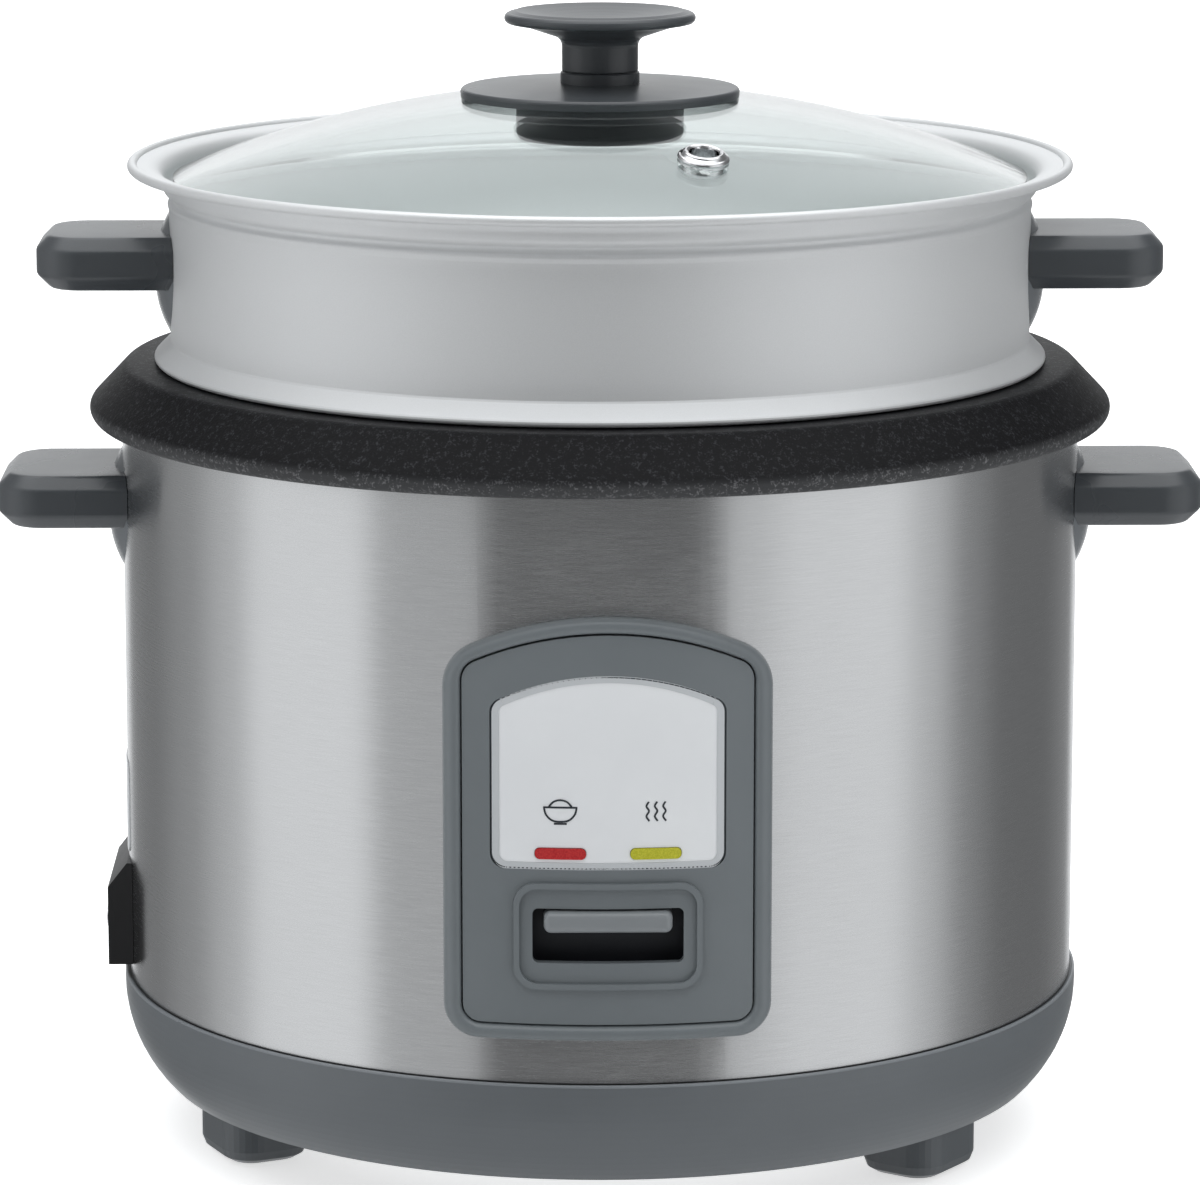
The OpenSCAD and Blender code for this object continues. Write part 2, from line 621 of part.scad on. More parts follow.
module inlet_housing() color([0.10, 0.10, 0.11]) difference() {
    union() {
        // face plate, seated on the shell, with its top sloped back
        difference() {
            translate([-body_r - inlet_out, -inlet_w, inlet_z]) cube([20, 2 * inlet_w, inlet_h]);
            cylinder(r = body_r + fit, h = shell_top, $fn = 180);
            translate([-body_r - inlet_out, 0, inlet_z + inlet_h - 7]) rotate([0, 38, 0])
                translate([-20, -50, 0]) cube([20, 100, 30]);
        }
        translate([-body_r - 1, -inlet_w + 4, inlet_z + 3])
            cube([body_r + 1 - liner_ro - 1.2, 2 * inlet_w - 8, inlet_h - 6]);
    }
    translate([-body_r - inlet_out - 1, -socket_w, socket_z])
        cube([socket_deep + 1, 2 * socket_w, socket_h]);
    at_inlet_pins() cylinder(r = 1.6 + fit, h = 30);
    at_inlet_screws() {
        translate([0, 0, -1]) cylinder(r = 1.5 + fit, h = 14);
        translate([0, 0, -1]) cylinder(r = 3.1, h = 2.2);
    }
}

module inlet_pins() color([0.80, 0.76, 0.60]) at_inlet_pins() cylinder(r = 1.6, h = 19);

module inlet_screws() color([0.72, 0.72, 0.70]) at_inlet_screws() {
    translate([0, 0, -0.4]) cylinder(r = 3, h = 1.5);
    cylinder(r = 1.5, h = 12);
}

// Where a wire leaves a pin's tail
function tail(i) = [20.2 - body_r - inlet_out + 3.2, pin_places[i][0], pin_places[i][1]];
tube_end = tube_loop_r * [cos(90 + tube_gap / 2), sin(90 + tube_gap / 2), 0];

module live_wire() color([0.45, 0.25, 0.15]) tube_along(curve([tail(0), tail(0) + [10, -4, -6],
    [-90, -24, lever_z], [-60, -44, lever_z - 6], [-34, -66, lever_z - 8],
    [-bracket_w - 5, switch_y + 4, lever_z - 10], [-bracket_w - bracket_t - 1.6, switch_y, lever_z - 9]]), 1.2);

module heater_wire() color([0.75, 0.20, 0.15]) tube_along(curve([
    [bracket_w + bracket_t + 1.6, switch_y, lever_z - 9], [bracket_w + 5, switch_y + 4, lever_z - 10],
    [36, -54, lever_z - 6], [44, -10, lever_z - 4], [38, 30, lever_z - 4],
    [2 - tube_end[0], tube_end[1] - 4, liner_z - 20], [-tube_end[0], tube_end[1], liner_z - 14.4]],
    4), 1.2, up = [1, 0, 0]);

module neutral_wire() color([0.15, 0.25, 0.55]) tube_along(curve([tail(1), tail(1) + [12, 4, -6],
    [-84, 26, lever_z + 2], [-52, 48, lever_z + 2], [-24, 60, lever_z - 3],
    [tube_end[0] - 1, tube_end[1] - 2, liner_z - 20], [tube_end[0], tube_end[1], liner_z - 14.4]],
    4), 1.2, up = [1, 0, 0]);

module earth_wire() color([0.35, 0.60, 0.20]) tube_along(curve([tail(2), tail(2) + [8, 0, -8],
    [-100, 2, lever_z + 6], [-84, 3, lever_z + 10], [-76, 4, liner_z - 3], [-74, 4, liner_z - 1.4]]), 1.2);

// ---- Handles ----

// Slab with chamfered edges and round outer corners, against a wall of radius wall_r
module slab_handle(wall_r, out, half_w, z, dome_half) {
    corner = 10;
    low_c = handle_t * 0.27;
    top_c = handle_t * 0.24;
    for (side = [-1, 1]) scale([side, 1, 1]) difference() {
        hull() for (layer = [[0, low_c], [low_c, 0], [handle_t - top_c, 0], [handle_t, top_c]],
                s = [-1, 1]) {
            edge = layer[1];
            up = z - handle_t / 2 + layer[0];
            translate([wall_r + out - edge - corner, s * (half_w - edge - corner), up])
                cylinder(r = corner, h = 0.01, $fn = 48);
            translate([wall_r - 6, s * (half_w - edge) - (s > 0 ? 1 : 0), up]) cube([1, 1, 0.01]);
        }
        translate([0, 0, z - handle_t]) cylinder(r = wall_r + 0.2, h = 2 * handle_t, $fn = 180);
        dome(wall_r, z - plate_drop, dome_half, 0.1);
    }
}

// Round domed plate against a wall of radius wall_r, on the +X side
module dome(wall_r, z, half, grow) {
    ball = (half * half + plate_bulge * plate_bulge) / (2 * plate_bulge);
    translate([wall_r, 0, z]) rotate([0, 90, 0]) rotate_extrude($fn = 96) polygon(concat(
        [[0, -3], [half + grow, -3]],
        arc([0, plate_bulge - ball], ball + grow, 90 - asin(half / ball), 90, 10)));
}

module handle_plates(wall_r, z, half) for (side = [0, 180]) rotate([0, 0, side]) difference() {
    dome(wall_r, z - plate_drop, half, 0);
    translate([0, 0, z - 30]) cylinder(r = wall_r + 0.02, h = 60, $fn = 180);
    for (y = [-9, 9]) translate([0, y, z]) rotate([0, 90, 0])
        cylinder(r = screw_r + fit, h = wall_r + 20);
}

module body_handles() color([0.24, 0.26, 0.28]) difference() {
    slab_handle(body_r, body_handle_out, body_handle_w, body_handle_z, body_plate_r);
    at_screws(body_handle_z) cylinder(r = screw_r + fit, h = body_r + 14.2);
}

module body_handle_plates() color([0.36, 0.38, 0.40]) handle_plates(body_r, body_handle_z, body_plate_r);

module body_handle_screws() color([0.72, 0.72, 0.70]) at_screws(body_handle_z) {
    translate([0, 0, shell_ri - 3]) cylinder(r = 3.8, h = 2.2);
    translate([0, 0, shell_ri - 1]) cylinder(r = screw_r, h = 15);
}

module steamer_handles() color([0.24, 0.26, 0.28]) difference() {
    slab_handle(steamer_r, steam_handle_out, steam_handle_w, steam_handle_z, steam_plate_r);
    at_screws(steam_handle_z) cylinder(r = screw_r + fit, h = steamer_r + 14.2);
}

module steamer_handle_plates() color([0.36, 0.38, 0.40]) handle_plates(steamer_r, steam_handle_z,
    steam_plate_r);

module steamer_rivets() color([0.80, 0.80, 0.80]) at_screws(steam_handle_z) {
    translate([0, 0, steamer_r - steamer_t - 2.4]) cylinder(r = 3.6, h = 1.7);
    translate([0, 0, steamer_r - steamer_t - 1]) cylinder(r = screw_r, h = 15);
}

// ---- Pot ----

ledge_z = pot_top - pot_t;                   // underside of the pot's ledge
pot_split = ledge_z - 9;                     // height at which the cup ends and its rim starts

// The cup and its rim are one pressing, kept as two nodes
module pot() color([0.13, 0.13, 0.14])
    spun_sheet(concat([[0, pot_z]],
        arc([pot_ro - 18, pot_z + 18], 18, -90, 0, 12),
        [[pot_ro, pot_split]]), pot_t);

module pot_rim() color([0.13, 0.13, 0.14]) {
    crest = body_r - 3.1;
    curl = [rim_r - 3.3, ledge_z - 11];
    spun_sheet(concat([[pot_ro, pot_split]],
        arc([pot_ro + 3, ledge_z - 3], 3, 180, 90, 6),
        arc([crest, ledge_z - 2], 2, 90, 45, 4),
        arc(curl, 1.9, 45, -75, 6)), pot_t);
}

// ---- Steamer ----

steamer_split = bead_z - 2.6;                // height at which the wall ends and its rim starts

// The basket and its rim are one spinning, kept as two nodes
module steamer() color([0.76, 0.77, 0.78]) difference() {
    spun_sheet(concat([[0, spigot_z]],
        arc([spigot_ro - 4, spigot_z + 4], 4, -90, 0, 6),
        arc([spigot_ro + 1.2, steamer_z - 1.2], 1.2, 180, 90, 4),
        arc([skirt_r - 1.1, steamer_z + 1.1], 1.1, -90, 48, 5),
        [[steamer_r + 0.3, steamer_z + skirt_h - 0.6], [steamer_r, steamer_z + skirt_h],
         [steamer_r, steamer_split]]), steamer_t);
    for (n = [0:5], i = [0:max(6 * n, 1) - 1]) rotate([0, 0, i * 360 / max(6 * n, 1)])
        translate([n * (spigot_ro - 14) / 6, 0, spigot_z - 1]) cylinder(r = steam_hole_r, h = 3);
    at_screws(steam_handle_z) cylinder(r = screw_r + fit, h = steamer_r + 5);
}

module steamer_rim() color([0.76, 0.77, 0.78]) {
    spun_sheet(concat([[steamer_r, steamer_split], [steamer_r, bead_z - 1.6]],
        arc([steamer_r - 0.5, bead_z], 1.5, -60, 60, 6),
        arc([steamer_r + 0.9, groove_z], 1.5, 230, 130, 5),
        arc([steamer_r - 2, band_z], 4, -38, 34, 6),
        arc([steamer_r + 9.9, flange_z - 9.4], 8.3, 149, 92, 6),
        [[steamer_r + 10.8, flange_z - 1.13]]), steamer_t);
    rotate_extrude($fn = 180) translate([steamer_r + 10.7, flange_z - 0.8]) circle(0.8, $fn = 24);
}

// ---- Lid ----

module at_vent() rotate([0, 0, vent_turn]) translate([0, 0, crown_z - dome_r])
    rotate([0, vent_tilt, 0]) translate([0, 0, dome_r]) children();

module lid_glass() color([0.80, 0.86, 0.86, 0.35]) difference() {
    intersection() {
        translate([0, 0, crown_z - dome_r]) difference() {
            sphere(dome_r, $fn = 240);
            sphere(dome_r - glass_t, $fn = 240);
        }
        translate([0, 0, glass_z - 20]) cylinder(r = glass_r, h = 60, $fn = 180);
    }
    translate([0, 0, glass_z]) cylinder(r = 3 + fit, h = 40);
    at_vent() cylinder(r = vent_r + 1.6 + fit, h = 20, center = true);
}

module vent_grommet() color([0.85, 0.85, 0.86]) at_vent() rotate_extrude() polygon(concat(
    [[vent_r, -glass_t - 1], [vent_r + 2.6, -glass_t - 1], [vent_r + 2.6, -glass_t - 0.1],
     [vent_r + 1.6, -glass_t - 0.1], [vent_r + 1.6, 0.15], [vent_r + 3.05, 0.15]],
    arc([vent_r + 2.1, 1.1], 0.95, -20, 80, 4),
    arc([vent_r + 0.9, 2.2], 0.9, 20, 180, 6)));

module knob_base() color([0.26, 0.28, 0.30]) difference() {
    rotate_extrude($fn = 180) polygon(concat(
        [[3.5, crown_z - 6], [knob_base_r - 0.6, crown_z - 6]],
        arc([knob_base_r - 1.2, crown_z - 0.9], 1.2, -20, 70, 4),
        [[stem_r + 0.4, crown_z + 1.6], [stem_r + 0.4, crown_z + 4.4], [stem_r, crown_z + 4.8],
         [3.5, crown_z + 4.8]]));
    translate([0, 0, crown_z - dome_r]) sphere(dome_r + 0.05, $fn = 240);
}

module knob() color([0.25, 0.27, 0.29]) {
    top = crown_z + knob_h;
    difference() {
        rotate_extrude($fn = 180) polygon(concat(
            [[0, crown_z + 5], [stem_r - 0.1, crown_z + 5], [stem_r, crown_z + 5.3],
             [stem_r, top - 9.6]],
            arc([stem_r + 3, top - 9.6], 3, 180, 115, 4),
            [[knob_r - 5.6, top - 3.9]],
            arc([knob_r - 1.5, top - 1.7], 1.5, -60, 95, 7),
            arc([0, top + 118], 120, -90 + asin((knob_r - 3.2) / 120), -90, 6)));
        translate([0, 0, crown_z + 4]) cylinder(r = 2.5 + fit, h = 9);
    }
}

module knob_screw() color([0.72, 0.72, 0.70]) {
    translate([0, 0, crown_z - glass_t - 3.2]) cylinder(r = 4.6, h = 3.1);
    translate([0, 0, crown_z - glass_t - 0.2]) cylinder(r = 2.5, h = glass_t + 12);
}

module lid_inner_cap() color([0.16, 0.17, 0.18]) difference() {
    rotate_extrude() polygon(concat([[5, crown_z - glass_t - 11.5]],
        arc([21, crown_z - glass_t - 9.1], 2.4, -90, 0, 5),
        [[23.4, crown_z], [5, crown_z]]));
    translate([0, 0, crown_z - dome_r]) difference() {
        translate([0, 0, dome_r - 20]) cylinder(r = 40, h = 40);
        sphere(dome_r - glass_t - 0.05, $fn = 240);
    }
}

base_shell();
feet();
foot_pads();
bottom_cover();
cover_screws();
base_screws();
outer_shell();
rating_plate();
inner_liner();
top_ring();
heating_plate();
heating_tube();
plate_posts();
sensor_guide();
sensor_cap();
sensor_ferrite();
sensor_spring();
magnet();
magnet_rod();
magnet_spring();
lever_bracket();
lever_pin();
cook_lever();
lever_tab();
switch_body();
switch_plunger();
switch_pins();
warm_thermostat();
thermal_fuse();
lamp_holder();
neon_lamps();
lens_cook();
lens_warm();
panel_frame();
panel_insert();
label_plate();
panel_screws();
inlet_housing();
inlet_pins();
inlet_screws();
live_wire();
neutral_wire();
heater_wire();
earth_wire();
body_handles();
body_handle_plates();
body_handle_screws();
pot();
pot_rim();
steamer();
steamer_rim();
steamer_handles();
steamer_handle_plates();
steamer_rivets();
lid_glass();
vent_grommet();
knob_base();
knob();
knob_screw();
lid_inner_cap();
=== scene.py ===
# %% [markdown]
# # A drum rice cooker, dressed around its engineering model
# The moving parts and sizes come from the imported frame. This script gives each surface its finish and
# rebuilds the pieces that the eye rests on, such as the panel and the handles, as finer meshes in the same
# places. Everything is in metres, with +Z up, the panel facing -Y and the mains inlet facing -X.

# %% Load the frame
import json
import math
import bmesh
import bpy
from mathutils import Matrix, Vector


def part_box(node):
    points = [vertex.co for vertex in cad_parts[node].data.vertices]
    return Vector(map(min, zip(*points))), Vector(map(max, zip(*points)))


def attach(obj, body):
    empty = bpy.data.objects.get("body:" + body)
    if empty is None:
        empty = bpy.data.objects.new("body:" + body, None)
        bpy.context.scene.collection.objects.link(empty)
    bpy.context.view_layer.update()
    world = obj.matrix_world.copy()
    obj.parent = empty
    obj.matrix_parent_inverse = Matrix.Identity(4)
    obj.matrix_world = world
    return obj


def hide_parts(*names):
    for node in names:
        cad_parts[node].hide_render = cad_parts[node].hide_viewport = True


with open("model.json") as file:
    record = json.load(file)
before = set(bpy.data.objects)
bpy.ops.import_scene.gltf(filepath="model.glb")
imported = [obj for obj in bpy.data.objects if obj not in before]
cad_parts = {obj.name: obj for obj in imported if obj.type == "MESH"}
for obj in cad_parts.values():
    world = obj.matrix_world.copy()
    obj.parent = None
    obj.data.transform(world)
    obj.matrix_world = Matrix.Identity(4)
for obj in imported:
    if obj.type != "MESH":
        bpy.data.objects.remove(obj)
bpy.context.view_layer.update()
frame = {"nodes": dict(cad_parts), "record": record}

nodes = frame["nodes"]

# %% [markdown]
# ## Camera
# A long lens from well back keeps the drum's sides almost parallel, as a catalogue view does. The camera
# stands a little to the left and looks down by about eleven degrees.

# %% Camera
STAND_BACK = 1.620
TURN = math.radians(0.9)
LOOK_DOWN = 0.1955
CAMERA_HEIGHT = 0.4726

camera_data = bpy.data.cameras.new("camera")
camera_data.lens = 173.8
camera_data.sensor_width = 36.0
camera = bpy.data.objects.new("camera", camera_data)
camera.location = (-STAND_BACK * math.sin(TURN), -STAND_BACK * math.cos(TURN), CAMERA_HEIGHT)
camera.rotation_euler = (math.pi / 2 - LOOK_DOWN, 0.0, -TURN)
bpy.context.scene.collection.objects.link(camera)
bpy.context.scene.camera = camera

# %% [markdown]
# ## Studio
# Brushed steel shows what stands around it, so the studio is a ring of light that changes with the compass:
# a bright soft box on each flank, a weaker one at the front left, and a dim gap where the camera stands.
# Building it in the world shader keeps each box's edge as soft as wanted and costs no extra objects. The
# ring is drawn for every ray but the camera's, which see plain white.

# %% World
RING = [(-180, 1.00), (-166, 1.00), (-156, 0.26), (-138, 0.22), (-118, 0.34), (-100, 0.58), (-88, 0.88),
        (-62, 0.88), (-52, 0.48), (-33, 0.46), (-25, 0.13), (22, 0.13), (33, 0.62), (50, 0.82), (72, 0.86),
        (84, 0.62), (98, 0.30), (112, 0.18), (132, 0.17), (156, 0.26), (166, 1.00), (180, 1.00)]
ROOM_TINT = (0.97, 0.985, 1.0)
TOP_GLOW = 2.1
BELOW_GLOW = 0.75
FLOOR_GLOW = 0.62


def compass_ring(tree):
    """The ring's brightness in the direction looked at: azimuth 0 is the panel's side, 90 the right."""
    place = tree.nodes.new("ShaderNodeTexCoord")
    split = tree.nodes.new("ShaderNodeSeparateXYZ")
    tree.links.new(place.outputs["Generated"], split.inputs["Vector"])
    back = tree.nodes.new("ShaderNodeMath")
    back.operation = "MULTIPLY"
    back.inputs[1].default_value = -1.0
    tree.links.new(split.outputs["Y"], back.inputs[0])
    turn = tree.nodes.new("ShaderNodeMath")
    turn.operation = "ARCTAN2"
    tree.links.new(split.outputs["X"], turn.inputs[0])
    tree.links.new(back.outputs[0], turn.inputs[1])
    share = tree.nodes.new("ShaderNodeMapRange")
    share.inputs["From Min"].default_value = -math.pi
    share.inputs["From Max"].default_value = math.pi
    tree.links.new(turn.outputs[0], share.inputs["Value"])
    ramp = tree.nodes.new("ShaderNodeValToRGB")
    ramp.color_ramp.interpolation = "EASE"
    stops = ramp.color_ramp.elements
    while len(stops) < len(RING):
        stops.new(0.5)
    for stop, (azimuth, glow) in zip(stops, RING):
        stop.position = (azimuth + 180) / 360
        stop.color = (glow, glow, glow, 1.0)
    tree.links.new(share.outputs["Result"], ramp.inputs["Fac"])
    return ramp.outputs["Color"], split.outputs["Z"]


world = bpy.data.worlds.new("studio")
bpy.context.scene.world = world
world.use_nodes = True
bpy.context.scene.view_settings.view_transform = "Standard"
tree = world.node_tree
tree.nodes.clear()
ring, upward = compass_ring(tree)


def blend_beyond(tree, height, low, high, colour, glow):
    """Fades a colour into an even glow as the height of the ray's direction goes from low to high."""
    fade = tree.nodes.new("ShaderNodeMapRange")
    fade.interpolation_type = "SMOOTHSTEP"
    fade.inputs["From Min"].default_value = low
    fade.inputs["From Max"].default_value = high
    tree.links.new(height, fade.inputs["Value"])
    lit = tree.nodes.new("ShaderNodeMix")
    lit.data_type = "RGBA"
    tree.links.new(fade.outputs["Result"], lit.inputs["Factor"])
    tree.links.new(colour, lit.inputs[6])
    lit.inputs[7].default_value = (glow, glow, glow, 1.0)
    return lit.outputs[2]


with_top = blend_beyond(tree, upward, 0.66, 0.88, ring, TOP_GLOW)
with_floor = blend_beyond(tree, upward, -0.50, -0.72, with_top, BELOW_GLOW)
tinted = tree.nodes.new("ShaderNodeMix")
tinted.data_type = "RGBA"
tinted.blend_type = "MULTIPLY"
tinted.inputs["Factor"].default_value = 1.0
tree.links.new(with_floor, tinted.inputs[6])
tinted.inputs[7].default_value = (*ROOM_TINT, 1.0)
room = tree.nodes.new("ShaderNodeBackground")
tree.links.new(tinted.outputs[2], room.inputs["Color"])
seen = tree.nodes.new("ShaderNodeBackground")
path = tree.nodes.new("ShaderNodeLightPath")
seen.inputs["Color"].default_value = (1.0, 1.0, 1.0, 1.0)
mix = tree.nodes.new("ShaderNodeMixShader")
out = tree.nodes.new("ShaderNodeOutputWorld")
tree.links.new(path.outputs["Is Camera Ray"], mix.inputs["Fac"])
tree.links.new(room.outputs["Background"], mix.inputs[1])
tree.links.new(seen.outputs["Background"], mix.inputs[2])
tree.links.new(mix.outputs["Shader"], out.inputs["Surface"])
print("studio ring of", len(RING), "stops")

# %% [markdown]
# The floor is a pale matt sheet. Brushed metal would mirror it and lose the ring, so glossy rays pass it.
# It glows a little for the camera, which lifts it to paper white and leaves only soft contact shadows.

# %% Floor
floor_mesh = bpy.data.meshes.new("floor")
floor_mesh.from_pydata([(-6, -6, 0), (6, -6, 0), (6, 6, 0), (-6, 6, 0)], [], [(0, 1, 2, 3)])
floor = bpy.data.objects.new("floor", floor_mesh)
bpy.context.scene.collection.objects.link(floor)
floor.visible_glossy = False
floor.visible_shadow = False
floor_finish = bpy.data.materials.new("pale_floor")
floor_finish.use_nodes = True
floor_shader = floor_finish.node_tree.nodes["Principled BSDF"]
floor_shader.inputs["Base Color"].default_value = (0.93, 0.93, 0.93, 1.0)
floor_shader.inputs["Roughness"].default_value = 0.9
floor_shader.inputs["Emission Color"].default_value = (1.0, 1.0, 1.0, 1.0)
floor_path = floor_finish.node_tree.nodes.new("ShaderNodeLightPath")
floor_seen = floor_finish.node_tree.nodes.new("ShaderNodeMath")
floor_seen.operation = "MAXIMUM"
floor_finish.node_tree.links.new(floor_path.outputs["Is Camera Ray"], floor_seen.inputs[0])
floor_finish.node_tree.links.new(floor_path.outputs["Is Transmission Ray"], floor_seen.inputs[1])
floor_glow = floor_finish.node_tree.nodes.new("ShaderNodeMath")
floor_glow.operation = "MULTIPLY"
floor_glow.inputs[1].default_value = FLOOR_GLOW
floor_finish.node_tree.links.new(floor_seen.outputs[0], floor_glow.inputs[0])
floor_finish.node_tree.links.new(floor_glow.outputs[0], floor_shader.inputs["Emission Strength"])
floor_mesh.materials.append(floor_finish)

# %% [markdown]
# ## Finishes
# Each finish is one material with a Principled shader. What several of them share, such as fine grain, a
# brushed lay or handling smudges, is a node group that puts out a mask, and each material sets how much
# of it there is.

# %% Node helpers
def new_group(name, inputs, outputs):
    """An empty shader group with float inputs {name: default} and the outputs named."""
    group = bpy.data.node_groups.new(name, "ShaderNodeTree")
    for label, value in inputs.items():
        socket = group.interface.new_socket(label, in_out="INPUT", socket_type="NodeSocketFloat")
        socket.default_value = value
    for label in outputs:
        group.interface.new_socket(label, in_out="OUTPUT", socket_type="NodeSocketFloat")
    return group, group.nodes.new("NodeGroupInput"), group.nodes.new("NodeGroupOutput")


def math_node(tree, operation, a, b=None, c=None):
    """A Math node fed by sockets or numbers. Returns its output socket."""
    node = tree.nodes.new("ShaderNodeMath")
    node.operation = operation
    for slot_index, value in enumerate((a, b, c)):
        if value is None:
            continue
        if isinstance(value, (int, float)):
            node.inputs[slot_index].default_value = value
        else:
            tree.links.new(value, node.inputs[slot_index])
    return node.outputs[0]


def noise_node(tree, vector, scale, detail=3.0, rough=0.5):
    """A noise texture. Returns its Fac output."""
    node = tree.nodes.new("ShaderNodeTexNoise")
    node.inputs["Detail"].default_value = detail
    node.inputs["Roughness"].default_value = rough
    tree.links.new(vector, node.inputs["Vector"])
    if isinstance(scale, (int, float)):
        node.inputs["Scale"].default_value = scale
    else:
        tree.links.new(scale, node.inputs["Scale"])
    return node.outputs["Fac"]


def spread(tree, value, low, high):
    """Stretches the part of a value from low to high over 0 to 1, clamped."""
    node = tree.nodes.new("ShaderNodeMapRange")
    tree.links.new(value, node.inputs["Value"])
    node.inputs["From Min"].default_value = low
    node.inputs["From Max"].default_value = high
    return node.outputs["Result"]


# %% [markdown]
# The first group gives grain, the second the patches that hands leave, and the third the streaks of a belt.

# %% Shared effects
def make_grain_group():
    """Fine even grain, in grains per metre."""
    group, given, result = new_group("fine_grain", {"Scale": 2500.0}, ["Mask"])
    place = group.nodes.new("ShaderNodeTexCoord")
    grain = noise_node(group, place.outputs["Object"], given.outputs["Scale"], 2.0)
    group.links.new(spread(group, grain, 0.3, 0.7), result.inputs["Mask"])
    return group


def make_smudge_group():
    """Broad soft patches, as fingers and wiping leave."""
    group, given, result = new_group("smudges", {"Scale": 14.0}, ["Mask"])
    place = group.nodes.new("ShaderNodeTexCoord")
    patch = noise_node(group, place.outputs["Object"], given.outputs["Scale"], 4.0, 0.6)
    group.links.new(spread(group, patch, 0.35, 0.72), result.inputs["Mask"])
    return group


def make_lay_group():
    """Scratches that run round the vertical axis: long along the turn, thin up and down."""
    group, given, result = new_group("round_lay", {"Along": 45.0, "Across": 2200.0}, ["Mask", "Fine"])
    place = group.nodes.new("ShaderNodeTexCoord")
    split = group.nodes.new("ShaderNodeSeparateXYZ")
    group.links.new(place.outputs["Object"], split.inputs["Vector"])
    x, y, z = split.outputs
    joined = group.nodes.new("ShaderNodeCombineXYZ")
    along = given.outputs["Along"]
    across = given.outputs["Across"]
    group.links.new(math_node(group, "MULTIPLY", x, along), joined.inputs["X"])
    group.links.new(math_node(group, "MULTIPLY", y, along), joined.inputs["Y"])
    group.links.new(math_node(group, "MULTIPLY", z, across), joined.inputs["Z"])
    coarse = noise_node(group, joined.outputs["Vector"], 1.0, 2.0)
    fine = noise_node(group, joined.outputs["Vector"], 2.7, 3.0, 0.7)
    group.links.new(spread(group, coarse, 0.3, 0.7), result.inputs["Mask"])
    group.links.new(spread(group, fine, 0.3, 0.7), result.inputs["Fine"])
    return group


grain_group = make_grain_group()
smudge_group = make_smudge_group()
lay_group = make_lay_group()
print("shared effects:", grain_group.name, smudge_group.name, lay_group.name)


# %% [markdown]
# Each finish is then built from four small moves: place a group, run a number or a colour along its mask,
# and press a height into the surface.

# %% Material helpers
def new_finish(name, **values):
    """A Principled material with these socket values. Returns the material, its tree and its shader."""
    finish = bpy.data.materials.new(name)
    finish.use_nodes = True
    shader = finish.node_tree.nodes["Principled BSDF"]
    for label, value in values.items():
        socket = shader.inputs[label.replace("_", " ")]
        socket.default_value = (*value, 1.0) if isinstance(value, tuple) else value
    return finish, finish.node_tree, shader


def place_group(tree, group, **values):
    """Puts a shared group in a material, with its own values."""
    node = tree.nodes.new("ShaderNodeGroup")
    node.node_tree = group
    for label, value in values.items():
        node.inputs[label].default_value = value
    return node


def between(tree, mask, low, high):
    """A number that runs from low to high with the mask."""
    node = tree.nodes.new("ShaderNodeMapRange")
    tree.links.new(mask, node.inputs["Value"])
    node.inputs["To Min"].default_value = low
    node.inputs["To Max"].default_value = high
    return node.outputs["Result"]


def shade(tree, mask, dark, light):
    """A colour that runs from dark to light with the mask."""
    node = tree.nodes.new("ShaderNodeMix")
    node.data_type = "RGBA"
    tree.links.new(mask, node.inputs["Factor"])
    node.inputs[6].default_value = (*dark, 1.0)
    node.inputs[7].default_value = (*light, 1.0)
    return node.outputs[2]


def emboss(tree, shader, height, distance, strength=1.0):
    """Feeds a height to the shader's normal, with the relief in metres."""
    bump = tree.nodes.new("ShaderNodeBump")
    bump.inputs["Strength"].default_value = strength
    bump.inputs["Distance"].default_value = distance
    tree.links.new(height, bump.inputs["Height"])
    tree.links.new(bump.outputs["Normal"], shader.inputs["Normal"])


# %% [markdown]
# ### Moulded plastic
# The base, the panel and the handles are glossy ABS with a very fine texture from the tool. Its colour
# hardly varies, but its gloss does, so the smudges drive the roughness.

# %% Plastics
def moulded(name, colour, rough=0.34, relief=0.00002, grain=2600.0):
    finish, tree, shader = new_finish(name, Roughness=rough)
    shader.inputs["IOR"].default_value = 1.52
    smudge = place_group(tree, smudge_group, Scale=11.0)
    grains = place_group(tree, grain_group, Scale=grain)
    lighter = tuple(min(1.0, c * 1.10 + 0.004) for c in colour)
    tree.links.new(shade(tree, smudge.outputs["Mask"], colour, lighter), shader.inputs["Base Color"])
    tree.links.new(between(tree, smudge.outputs["Mask"], rough - 0.04, rough + 0.07),
                   shader.inputs["Roughness"])
    emboss(tree, shader, grains.outputs["Mask"], relief, 0.5)
    return finish


base_plastic = moulded("base_grey_plastic", (0.118, 0.130, 0.140), 0.36)
panel_plastic = moulded("panel_grey_plastic", (0.150, 0.168, 0.178), 0.34)
slate_plastic = moulded("slate_plastic", (0.056, 0.062, 0.068), 0.28)
plate_plastic = moulded("handle_plate_plastic", (0.15, 0.163, 0.175), 0.20)
black_plastic = moulded("black_plastic", (0.012, 0.012, 0.013), 0.40)
clip_plastic = moulded("clip_plastic", (0.62, 0.62, 0.60), 0.42)
rubber_finish = moulded("foot_rubber", (0.020, 0.020, 0.020), 0.72, 0.00006, 1500.0)
wire_brown = moulded("wire_brown", (0.10, 0.035, 0.015), 0.45)
wire_blue = moulded("wire_blue", (0.012, 0.035, 0.16), 0.45)
wire_green = moulded("wire_green", (0.05, 0.18, 0.03), 0.45)
bar_plastic = moulded("lever_bar_grey", (0.21, 0.225, 0.235), 0.28)
# Near-black: painted shade for the shadowed slot behind the lever's bar.
apron_shade_paint = moulded("apron_painted_shade_dark", (0.022, 0.024, 0.030), 0.38)
# A lighter copy of the base plastic: painted highlight along the base's top edge.
lip_highlight_paint = moulded("base_lip_painted_highlight", (0.20, 0.215, 0.23), 0.30)
border_finish = moulded("label_border_grey", (0.50, 0.52, 0.535), 0.34)
ink_finish = moulded("label_ink", (0.018, 0.024, 0.032), 0.45)


